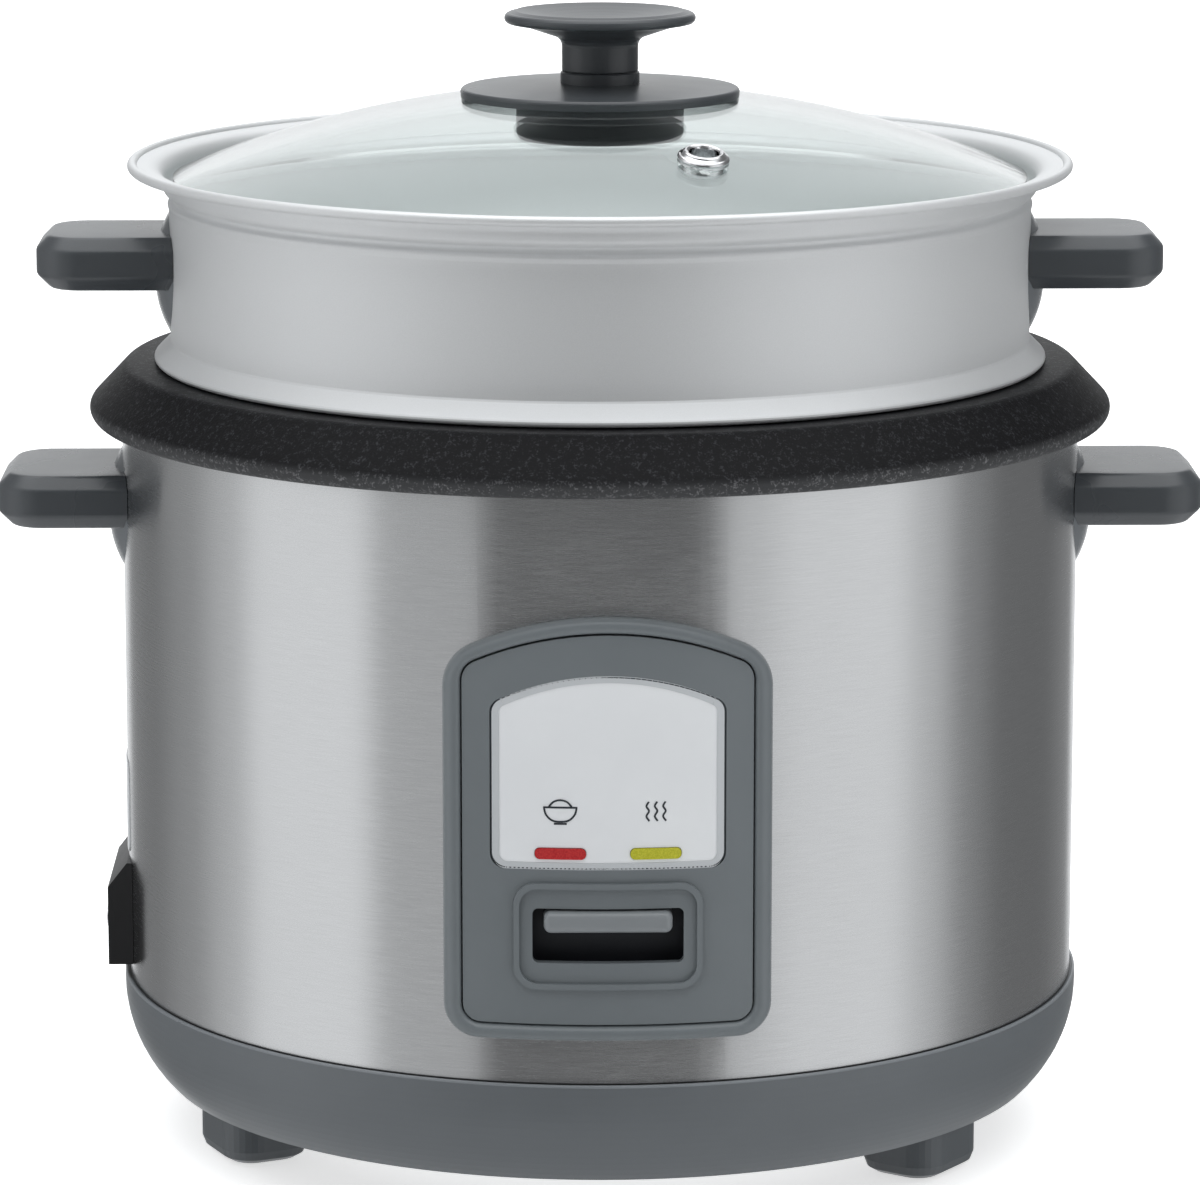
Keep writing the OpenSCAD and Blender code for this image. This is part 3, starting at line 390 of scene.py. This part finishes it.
# %% [markdown]
# ### Brushed steel and sheet metal
# A belt brushes the shell round and round, so its scratches run along the turn and smear highlights up
# and down. Anisotropy does the smearing and the lay group draws the streaks.

# %% Metals
def metal(name, colour, rough, lay=0.0, lay_scale=(45.0, 2200.0), spin=0.0, relief=0.00001, grain=1800.0,
          aniso=0.0, contrast=0.12, metallic=1.0):
    """Sheet or bar metal: lay switches the brushed streaks on, and grain sets its fine pebbling."""
    finish, tree, shader = new_finish(name, Metallic=metallic, Roughness=rough, Anisotropic=aniso)
    smudge = place_group(tree, smudge_group, Scale=9.0)
    grains = place_group(tree, grain_group, Scale=grain)
    streaks = place_group(tree, lay_group, Along=lay_scale[0], Across=lay_scale[1])
    mask = streaks.outputs["Fine"] if lay else grains.outputs["Mask"]
    darker = tuple(c * (1.0 - contrast) for c in colour)
    tree.links.new(shade(tree, mask, darker, colour), shader.inputs["Base Color"])
    rough_low = between(tree, smudge.outputs["Mask"], rough - 0.03, rough + 0.04)
    rough_high = math_node(tree, "ADD", rough_low, between(tree, mask, -0.05, 0.05))
    tree.links.new(rough_high, shader.inputs["Roughness"])
    if aniso:
        tangent = tree.nodes.new("ShaderNodeTangent")
        tangent.direction_type = "RADIAL"
        tangent.axis = "Z"
        tree.links.new(tangent.outputs["Tangent"], shader.inputs["Tangent"])
        shader.inputs["Anisotropic Rotation"].default_value = spin
    emboss(tree, shader, streaks.outputs["Mask"] if lay else grains.outputs["Mask"], relief)
    return finish


shell_steel = metal("brushed_shell_steel", (0.73, 0.735, 0.74), 0.25, lay=1.0, spin=0.25, aniso=0.92,
                    relief=0.000004)
zinc_steel = metal("zinc_sheet", (0.56, 0.57, 0.58), 0.38)
screw_steel = metal("screw_steel", (0.60, 0.60, 0.59), 0.30)
heater_steel = metal("heater_steel", (0.30, 0.28, 0.26), 0.45)
cast_aluminium = metal("cast_aluminium", (0.72, 0.73, 0.74), 0.42, lay=1.0, lay_scale=(60.0, 900.0))
satin_aluminium = metal("satin_aluminium", (0.80, 0.81, 0.815), 0.50, grain=3600.0, relief=0.000004,
                        contrast=0.05, metallic=0.55)
ferrite_finish = metal("ferrite", (0.10, 0.10, 0.11), 0.5)
brass_finish = metal("brass", (0.72, 0.56, 0.28), 0.28)
chrome_finish = metal("chrome", (0.80, 0.80, 0.81), 0.07, relief=0.000002, contrast=0.03)


# %% [markdown]
# ### Non-stick coating
# The pot's coating is black with fine pale flecks. The flecks are the brightest tops of two noises laid
# over each other, so that they come in no pattern. On the rolled rim's lower curl the colour is lighter:
# a painted highlight for the light that the curl catches.

# %% Non-stick, glass, label and lenses
def non_stick():
    finish, tree, shader = new_finish("speckled_non_stick", Roughness=0.5)
    shader.inputs["Specular IOR Level"].default_value = 0.14
    place = tree.nodes.new("ShaderNodeTexCoord")
    first = noise_node(tree, place.outputs["Object"], 1900.0, 1.0)
    second = noise_node(tree, place.outputs["Object"], 620.0, 2.0)
    flecks = spread(tree, math_node(tree, "MULTIPLY", first, second), 0.28, 0.42)
    split = tree.nodes.new("ShaderNodeSeparateXYZ")
    tree.links.new(place.outputs["Object"], split.inputs["Vector"])
    x, y, z = split.outputs
    radius = math_node(tree, "SQRT", math_node(tree, "ADD", math_node(tree, "MULTIPLY", x, x),
                                               math_node(tree, "MULTIPLY", y, y)))
    beyond = spread(tree, radius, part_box("outer_shell")[1][0] + 0.001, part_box("outer_shell")[1][0] + 0.004)
    edge_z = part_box("pot_rim")[0][2]
    below = spread(tree, z, edge_z + 0.0052, edge_z + 0.0030)
    # Painted highlight: the rim's lower curl, outside the body, gets a lighter colour for the light it
    # catches.
    edge_highlight_paint = tree.nodes.new("ShaderNodeMix")
    edge_highlight_paint.data_type = "RGBA"
    tree.links.new(math_node(tree, "MULTIPLY", beyond, below), edge_highlight_paint.inputs["Factor"])
    tree.links.new(shade(tree, flecks, (0.004, 0.004, 0.005), (0.030, 0.031, 0.035)), edge_highlight_paint.inputs[6])
    tree.links.new(shade(tree, flecks, (0.050, 0.051, 0.053), (0.16, 0.16, 0.165)), edge_highlight_paint.inputs[7])
    tree.links.new(edge_highlight_paint.outputs[2], shader.inputs["Base Color"])
    tree.links.new(between(tree, flecks, 0.50, 0.40), shader.inputs["Roughness"])
    grains = place_group(tree, grain_group, Scale=1400.0)
    emboss(tree, shader, grains.outputs["Mask"], 0.00006, 0.7)
    return finish


def clear_glass(name, tint=(0.93, 0.97, 0.96)):
    finish, tree, shader = new_finish(name, Base_Color=tint, Roughness=0.0)
    shader.inputs["Transmission Weight"].default_value = 1.0
    shader.inputs["IOR"].default_value = 1.45
    out = next(node for node in tree.nodes if node.type == "OUTPUT_MATERIAL")
    path = tree.nodes.new("ShaderNodeLightPath")
    lets_through = math_node(tree, "MAXIMUM", path.outputs["Is Shadow Ray"], path.outputs["Is Diffuse Ray"])
    clear = tree.nodes.new("ShaderNodeBsdfTransparent")
    clear.inputs["Color"].default_value = (*tint, 1.0)
    mix = tree.nodes.new("ShaderNodeMixShader")
    tree.links.new(lets_through, mix.inputs["Fac"])
    tree.links.new(shader.outputs["BSDF"], mix.inputs[1])
    tree.links.new(clear.outputs["BSDF"], mix.inputs[2])
    tree.links.new(mix.outputs["Shader"], out.inputs["Surface"])
    return finish


def printed_plate():
    finish, tree, shader = new_finish("label_silver", Roughness=0.32, Metallic=0.0)
    smudge = place_group(tree, smudge_group, Scale=18.0)
    grains = place_group(tree, grain_group, Scale=4200.0)
    tree.links.new(shade(tree, smudge.outputs["Mask"], (0.76, 0.775, 0.79), (0.82, 0.835, 0.845)),
                   shader.inputs["Base Color"])
    emboss(tree, shader, grains.outputs["Mask"], 0.000008, 0.4)
    return finish


def lens(name, dark, light):
    finish, tree, shader = new_finish(name, Roughness=0.22)
    place = tree.nodes.new("ShaderNodeTexCoord")
    specks = spread(tree, noise_node(tree, place.outputs["Object"], 2600.0, 2.0), 0.35, 0.65)
    tree.links.new(shade(tree, specks, dark, light), shader.inputs["Base Color"])
    shader.inputs["Coat Weight"].default_value = 0.5
    emboss(tree, shader, specks, 0.00004, 0.5)
    return finish


def glazed():
    finish, tree, shader = new_finish("white_ceramic", Roughness=0.25)
    smudge = place_group(tree, smudge_group, Scale=40.0)
    tree.links.new(shade(tree, smudge.outputs["Mask"], (0.70, 0.68, 0.62), (0.78, 0.76, 0.71)),
                   shader.inputs["Base Color"])
    return finish


non_stick_finish = non_stick()
lid_glass_finish = clear_glass("lid_glass_clear")
label_finish = printed_plate()
lens_red = lens("lens_red", (0.42, 0.012, 0.016), (0.55, 0.03, 0.03))
lens_yellow = lens("lens_yellow", (0.42, 0.42, 0.015), (0.58, 0.56, 0.04))
ceramic_finish = glazed()

# %% [markdown]
# ### Finishes on the CAD nodes
# The record names a material slot for every node. The table below says which finish stands for each slot.

# %% Give every CAD node its finish
FINISH_OF_SLOT = {
    "base_plastic": base_plastic, "dark_plastic": slate_plastic, "panel_plastic": panel_plastic,
    "black_plastic": black_plastic, "clip_plastic": clip_plastic, "rubber": rubber_finish,
    "brushed_shell": shell_steel, "zinc_steel": zinc_steel, "screw_steel": screw_steel,
    "heater_steel": heater_steel, "cast_aluminium": cast_aluminium, "satin_aluminium": satin_aluminium,
    "nonstick_black": non_stick_finish, "ferrite": ferrite_finish, "brass_rod": brass_finish,
    "chrome_ring": chrome_finish, "label_white": label_finish, "lens_red": lens_red,
    "lens_yellow": lens_yellow, "ceramic_white": ceramic_finish, "wire_brown": wire_brown,
    "wire_blue": wire_blue, "wire_green": wire_green, "clear_glass": lid_glass_finish}
OTHER_FINISH = {"steamer_handle_plates": plate_plastic, "body_handle_plates": plate_plastic}

slot_of = {row["node"]: row["material_slot"] for row in frame["record"]["subparts"]}
for name, cad in nodes.items():
    finish = OTHER_FINISH.get(name, FINISH_OF_SLOT[slot_of[name]])
    cad.data.materials.clear()
    cad.data.materials.append(finish)
print("finishes given to", len(nodes), "CAD nodes")

# %% [markdown]
# ## Finer pieces
# The rims, handles and panel carry the small curves that catch the light, so they are rebuilt here as
# finer meshes in the same places. Sizes come from the frame's boxes.

# %% Driving sizes
MM = 0.001
SPIN_STEPS = 288
BASE_HEIGHT = 29 * MM
TAB_HEIGHT = 71.5 * MM       # the tab over the base's underside, at rest
APRON_SETBACK = 7.1 * MM     # the apron behind the drum's front
base_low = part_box("base_shell")[0][2]
seam_z = base_low + BASE_HEIGHT
body_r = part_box("outer_shell")[1][0]
steamer_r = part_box("lid_glass")[1][0] + 1.2 * MM
print("body radius", round(body_r, 4), "seam at", round(seam_z, 4))


# %% Mesh helpers
def arc(centre, radius, start, end, count=14):
    """Points of an arc in degrees."""
    turns = [math.radians(start + (end - start) * i / count) for i in range(count + 1)]
    return [(centre[0] + radius * math.cos(t), centre[1] + radius * math.sin(t)) for t in turns]


def eased(points, steps=6):
    """A smooth curve through points."""
    curve = []
    for i in range(len(points) - 1):
        a, b = points[max(i - 1, 0)], points[i]
        c, d = points[i + 1], points[min(i + 2, len(points) - 1)]
        for k in range(steps):
            u = k / steps
            curve.append(tuple(0.5 * (2 * b[n] + (c[n] - a[n]) * u
                                      + (2 * a[n] - 5 * b[n] + 4 * c[n] - d[n]) * u * u
                                      + (3 * b[n] - a[n] - 3 * c[n] + d[n]) * u ** 3) for n in (0, 1)))
    return curve + [points[-1]]


def add_mesh(name, verts, faces, finish, body, replaced=None, sharp=35):
    """Makes a smooth-shaded object that rides on a body and stands for the CAD node named."""
    mesh = bpy.data.meshes.new(name)
    mesh.from_pydata(verts, [], faces)
    bm = bmesh.new()
    bm.from_mesh(mesh)
    bmesh.ops.recalc_face_normals(bm, faces=bm.faces)
    bm.to_mesh(mesh)
    bm.free()
    mesh.shade_smooth()
    mesh.set_sharp_from_angle(angle=math.radians(sharp))
    piece = bpy.data.objects.new(name, mesh)
    bpy.context.scene.collection.objects.link(piece)
    mesh.materials.append(finish)
    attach(piece, body)
    if replaced:
        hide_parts(replaced)
    print(name, len(mesh.vertices), "points")
    return piece


def rings_to_faces(rings, count, closed=True):
    """Faces that join rings of count points each, in order."""
    turns = rings if closed else rings - 1
    return [(i * count + k, i * count + (k + 1) % count, (i + 1) % rings * count + (k + 1) % count,
             (i + 1) % rings * count + k) for i in range(turns) for k in range(count)]


def lathe(name, outline, finish, body, replaced=None):
    """Spins a closed outline of (r, z) points round the vertical axis."""
    verts = [(r * math.cos(2 * math.pi * i / SPIN_STEPS), r * math.sin(2 * math.pi * i / SPIN_STEPS), z)
             for i in range(SPIN_STEPS) for r, z in outline]
    return add_mesh(name, verts, rings_to_faces(SPIN_STEPS, len(outline)), finish, body, replaced)


def thickened(path, t):
    """A sheet's outline: the path, and back along it at t to its left."""
    back = []
    for i, (r, z) in enumerate(path):
        before = path[max(i - 1, 0)]
        after = path[min(i + 1, len(path) - 1)]
        run = Vector((after[0] - before[0], after[1] - before[1])).normalized()
        back.append((r - run.y * t, z + run.x * t))
    return path + back[::-1]


# %% [markdown]
# ### Rims
# The steamer's rim is spun: a groove, a smooth band that flares out, and a rolled edge. The pot's rim is
# pressed, with a wide ledge that rolls down over the body. At the base's seam, a black ring is painted
# shadow in the gap, and a fine lip in a lighter plastic is a painted highlight along the base's top edge.

# %% Steamer rim
rim_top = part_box("steamer_rim")[1][2]
rim_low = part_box("steamer_rim")[0][2]
RIM_SHAPE = [(0, -13.8), (0.2, -13.0), (0.35, -12.3), (0.1, -11.6), (-0.7, -10.9), (-0.95, -10.3),
             (-0.6, -9.6), (0.7, -9.0), (1.5, -8.0), (1.85, -6.6), (2.0, -5.2), (2.5, -3.9), (3.6, -2.8),
             (5.4, -2.1), (7.6, -1.9), (9.4, -2.0)]
rim_path = [(steamer_r, rim_low)] + eased([(steamer_r + r * MM, rim_top + z * MM) for r, z in RIM_SHAPE])
lathe("steamer_spun_rim", thickened(rim_path, 0.8 * MM), satin_aluminium, "steamer", "steamer_rim")
lathe("steamer_rolled_edge", arc((steamer_r + 10.1 * MM, rim_top - 1.4 * MM), 1.4 * MM, 0, 350, 35),
      satin_aluminium, "steamer")

# %% Pot rim
pot_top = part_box("pot_rim")[1][2]
pot_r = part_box("pot")[1][0]
rim_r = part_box("pot_rim")[1][0]
ledge = pot_top - 1.4 * MM
pot_path = [(pot_r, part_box("pot")[1][2])]
pot_path += arc((pot_r + 3 * MM, ledge - 3 * MM), 3 * MM, 180, 90)
pot_path += arc((body_r - 3.1 * MM, ledge - 2 * MM), 2 * MM, 90, 45)
pot_path += arc((rim_r - 3.3 * MM, ledge - 11 * MM), 1.9 * MM, 45, -75)
lathe("pot_pressed_rim", thickened(pot_path, 1.4 * MM), non_stick_finish, "pot", "pot_rim")

# %% Seam of the base
# A thin black ring: painted shadow in the gap between the base and the shell.
lathe("seam_painted_shadow", [(body_r - 0.2 * MM, seam_z - 2 * MM), (body_r + 0.22 * MM, seam_z - 2 * MM),
                   (body_r + 0.22 * MM, seam_z + 0.45 * MM), (body_r - 0.2 * MM, seam_z + 0.45 * MM)],
      black_plastic, "body")
# The lip's lighter colour is a painted highlight on the base's top edge.
lathe("base_lip", arc((body_r + 0.92 * MM, seam_z - 0.28 * MM), 0.5 * MM, 0, 350, 23),
      lip_highlight_paint, "body")


# %% [markdown]
# ### Handles
# Each handle is a slab with a chamfer above and below and round outer corners. Its section is listed from
# the underside up, with every corner eased, and each point of it gives one ring round the slab. The oval
# plate behind it is a low dome that fades into the wall.

# %% Handles
def eased_corners(path, cut, steps=4):
    """Rounds the inner corners of a path of (inset, height) points."""
    result = [path[0]]
    for before, corner, after in zip(path, path[1:], path[2:]):
        at, back, on = Vector(corner), Vector(before), Vector(after)
        start = at + (back - at).normalized() * cut
        stop = at + (on - at).normalized() * cut
        for k in range(steps + 1):
            u = k / steps
            spot = start * (1 - u) ** 2 + at * 2 * u * (1 - u) + stop * u ** 2
            result.append((spot.x, spot.y))
    return result + [path[-1]]


def slab(name, wall_r, node, body, side):
    """A handle slab on one side (-1 or 1) of a wall, inside the box of its CAD node."""
    low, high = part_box(node)
    reach, half, bottom, tall = high[0], high[1], low[2], high[2] - low[2]
    corner = 13 * MM
    section = eased_corners([(9 * MM, 0), (4.05 * MM, 0), (0, 4.05 * MM), (0, tall - 3.6 * MM),
                             (3.6 * MM, tall), (9 * MM, tall)], 1.0 * MM)
    verts = []
    for inset, height in section:
        radius = corner - inset
        outer = arc((reach - corner, half - corner), radius, 90, 0, 16)
        outer += [(x, -y) for x, y in outer[::-1]]
        ends = [half - inset, inset - half]
        inner = [ends[1] + (ends[0] - ends[1]) * k / 16 for k in range(17)]
        ring = outer + [(math.sqrt(wall_r ** 2 - y * y) + 0.1 * MM, y) for y in inner]
        verts += [(side * x, y, bottom + height) for x, y in ring]
    count = len(verts) // len(section)
    faces = rings_to_faces(len(section), count, closed=False)
    faces += [tuple(range(count)), tuple(range(len(verts) - count, len(verts)))]
    return add_mesh(name, verts, faces, slate_plastic, body, node, sharp=30)


def leaf_plate(name, wall_r, node, slab_node, body, side):
    """The oval plate behind a handle: rings from the middle out, then a flat back just under the skin."""
    middle = (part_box(slab_node)[0][2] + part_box(slab_node)[1][2]) / 2 - 4.35 * MM
    half, tall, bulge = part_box(slab_node)[1][1] * 0.97, 17.1 * MM, 4.2 * MM
    rings, count = 14, 64
    verts = []
    shares = [(k + 0.02) / rings for k in range(rings)] + [1.0]
    for share, lift in [(s, bulge * (1 - s ** 2.4)) for s in shares] + [(s, -0.3 * MM) for s in shares[::-1]]:
        for k in range(count):
            turn = 2 * math.pi * k / count
            y = half * share * math.cos(turn)
            z = tall * share * math.copysign(abs(math.sin(turn)) ** 1.15, math.sin(turn))
            verts.append((side * (math.sqrt(wall_r ** 2 - y * y) + lift), y, middle + z))
    faces = rings_to_faces(2 * (rings + 1), count)
    return add_mesh(name, verts, faces, plate_plastic, body, node, sharp=50)


for side, mark in ((-1, "left"), (1, "right")):
    slab("body_handle_" + mark, body_r, "body_handles", "body", side)
    leaf_plate("body_plate_" + mark, body_r, "body_handle_plates", "body_handles", "body", side)
    slab("steamer_handle_" + mark, steamer_r, "steamer_handles", "steamer", side)
    leaf_plate("steamer_plate_" + mark, steamer_r, "steamer_handle_plates", "steamer_handles",
               "steamer", side)

# %% [markdown]
# ### Panel
# Everything on the panel is drawn flat in X and Z, and then wrapped onto the drum at its own radius. The
# frame is a half-round moulding round an arched outline. The label carries plain pictures only: a bowl for
# cooking and three wisps for keeping warm.

# %% Panel outlines
frame_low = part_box("panel_frame")[0]
panel_z = frame_low[2]
label_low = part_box("label_plate")[0]


def arched(w, h, s, low_r, top_r, lift=0.0, count=10):
    """Outline in millimetres over the panel's foot: round lower corners and an arched top."""
    rise = h - s
    big = (w * w + rise * rise) / (2 * rise)
    mid = h - big
    cx = w - top_r
    cz = mid + math.sqrt((big - top_r) ** 2 - cx * cx)
    turn = math.degrees(math.atan2(cz - mid, cx))
    half = [((w - low_r) * k / 24, 0) for k in range(24)] + arc((w - low_r, low_r), low_r, -90, 0, count)
    half += [(w, low_r + (cz - low_r) * k / count) for k in range(1, count)]
    half += arc((cx, cz), top_r, 0, turn, count)
    half += arc((0, mid), big, turn, 90, 2 * count)
    points = half + [(-x, z) for x, z in half[-2:0:-1]]
    return [(x, z + lift) for x, z in points]


def wrapped(points, radius, foot=0.0):
    """Puts points in millimetres on the drum: foot is the height of their zero in metres."""
    spots = []
    for x, z in points:
        spots.append((x * MM, -math.sqrt(radius ** 2 - (x * MM) ** 2), foot + z * MM))
    return spots


# %% Frame moulding
outer = arched(43.6, 114.5, 102.4, 9, 13)
inner = arched(38.6, 105.7, 96.2, 4.9, 5.9, lift=4.5)
outer_r = -frame_low[1]
verts = []
for step in range(15):
    angle = math.pi * step / 14
    share = (1 - math.cos(angle)) / 2
    height = body_r + 0.15 * MM + (outer_r - body_r - 0.15 * MM) * math.sin(angle) ** 0.7
    line = [(a[0] + (b[0] - a[0]) * share, a[1] + (b[1] - a[1]) * share) for a, b in zip(outer, inner)]
    verts += wrapped(line, height, panel_z)
add_mesh("panel_moulding", verts, rings_to_faces(15, len(outer)), panel_plastic, "body", "panel_frame")


# %% [markdown]
# The lever ends in a rounded bar that a finger presses. An apron behind it closes the slot, and both
# ride on the lever. The apron's near-black colour is painted shade for the shadow inside the slot.

# %% Lever's tab
def rounded_box(name, low, high, rounding, finish, body, replaced=None):
    """A box between two corners in metres, with its edges rounded."""
    bm = bmesh.new()
    bmesh.ops.create_cube(bm, size=1.0)
    for vert in bm.verts:
        vert.co = [low[n] + (high[n] - low[n]) * (vert.co[n] + 0.5) for n in range(3)]
    bmesh.ops.bevel(bm, geom=bm.edges[:], offset=rounding, segments=5, profile=0.5, affect="EDGES")
    verts = [tuple(vert.co) for vert in bm.verts]
    bm.verts.index_update()
    faces = [tuple(vert.index for vert in face.verts) for face in bm.faces]
    bm.free()
    return add_mesh(name, verts, faces, finish, body, replaced, sharp=60)


tab_low, tab_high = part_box("lever_tab")
apron_front = -(body_r - APRON_SETBACK)
tab_z = base_low + TAB_HEIGHT
rounded_box("lever_bar", (-17.0 * MM, tab_low[1], tab_z),
            (17.0 * MM, apron_front - 0.1 * MM, tab_z + 5.8 * MM), 1.9 * MM, bar_plastic, "lever", "lever_tab")
# The apron's dark colour is painted shade.
rounded_box("lever_apron", (tab_low[0], apron_front, tab_low[2]), (tab_high[0], tab_high[1], tab_high[2]),
            0.2 * MM, apron_shade_paint, "lever")


# %% Strokes on the label
def stroke(name, points, width, radius, foot, finish, closed=False, thick=0.05):
    """A line of even width in millimetres, wrapped on the drum as a thin raised strip."""
    verts = []
    last = len(points) - 1
    for i, (x, z) in enumerate(points):
        before = points[i - 1] if closed or i else points[i]
        after = points[(i + 1) % len(points)] if closed or i < last else points[i]
        run = Vector((after[0] - before[0], after[1] - before[1])).normalized()
        side = [(x - run.y * width / 2, z + run.x * width / 2),
                (x + run.y * width / 2, z - run.x * width / 2)]
        verts += wrapped(side, radius, foot) + wrapped(side[::-1], radius + thick * MM, foot)
    faces = rings_to_faces(len(points), 4, closed)
    if not closed:
        faces += [(0, 1, 2, 3), (len(verts) - 4, len(verts) - 3, len(verts) - 2, len(verts) - 1)]
    return add_mesh(name, verts, faces, finish, "body")


label_r = -label_low[1]
window_z = label_low[2]
face_r = label_r + 0.05 * MM
stroke("label_border", arched(29.7, 50.5, 43.0, 3.2, 3.2, lift=0.55), 2.0, face_r, window_z,
       border_finish, closed=True, thick=0.1)
stroke("label_edge", arched(30.75, 51.55, 44.05, 4, 4), 0.3, face_r, window_z, ink_finish, closed=True,
       thick=0.1)

bowl = [(-4.3, 3.4), (-3.9, 1.7), (-2.9, 0.4), (-1.6, -0.3), (0, -0.45), (1.6, -0.3), (2.9, 0.4), (3.9, 1.7),
        (4.3, 3.4)]
ICON_Z = 13.1        # the pictures' foot over the window's, in millimetres
ICON_X = 12.6        # each picture stands over its lamp
ICON_WIDTH = 0.5
for name, points in {
        "icon_bowl": eased(bowl, 3), "icon_bowl_rim": [(-4.5, 3.4), (0, 3.4), (4.5, 3.4)],
        "icon_bowl_foot": [(-1.7, -1.0), (0, -1.0), (1.7, -1.0)],
        "icon_rice": eased([(-3.0, 3.6), (-1.8, 4.9), (0, 5.4), (1.8, 4.9), (3.0, 3.6)], 3)}.items():
    stroke(name, [(x - ICON_X, z + ICON_Z) for x, z in points], ICON_WIDTH, face_r, window_z, ink_finish)
for number, shift in enumerate((-2.2, 0.0, 2.2)):
    wisp = eased([(0.45, 0), (-0.35, 1.3), (0.35, 2.7), (-0.35, 4.0), (0.3, 5.2)], 4)
    stroke("icon_wisp_%d" % number, [(x + ICON_X + shift, z + ICON_Z - 0.3) for x, z in wisp],
           ICON_WIDTH, face_r, window_z, ink_finish)
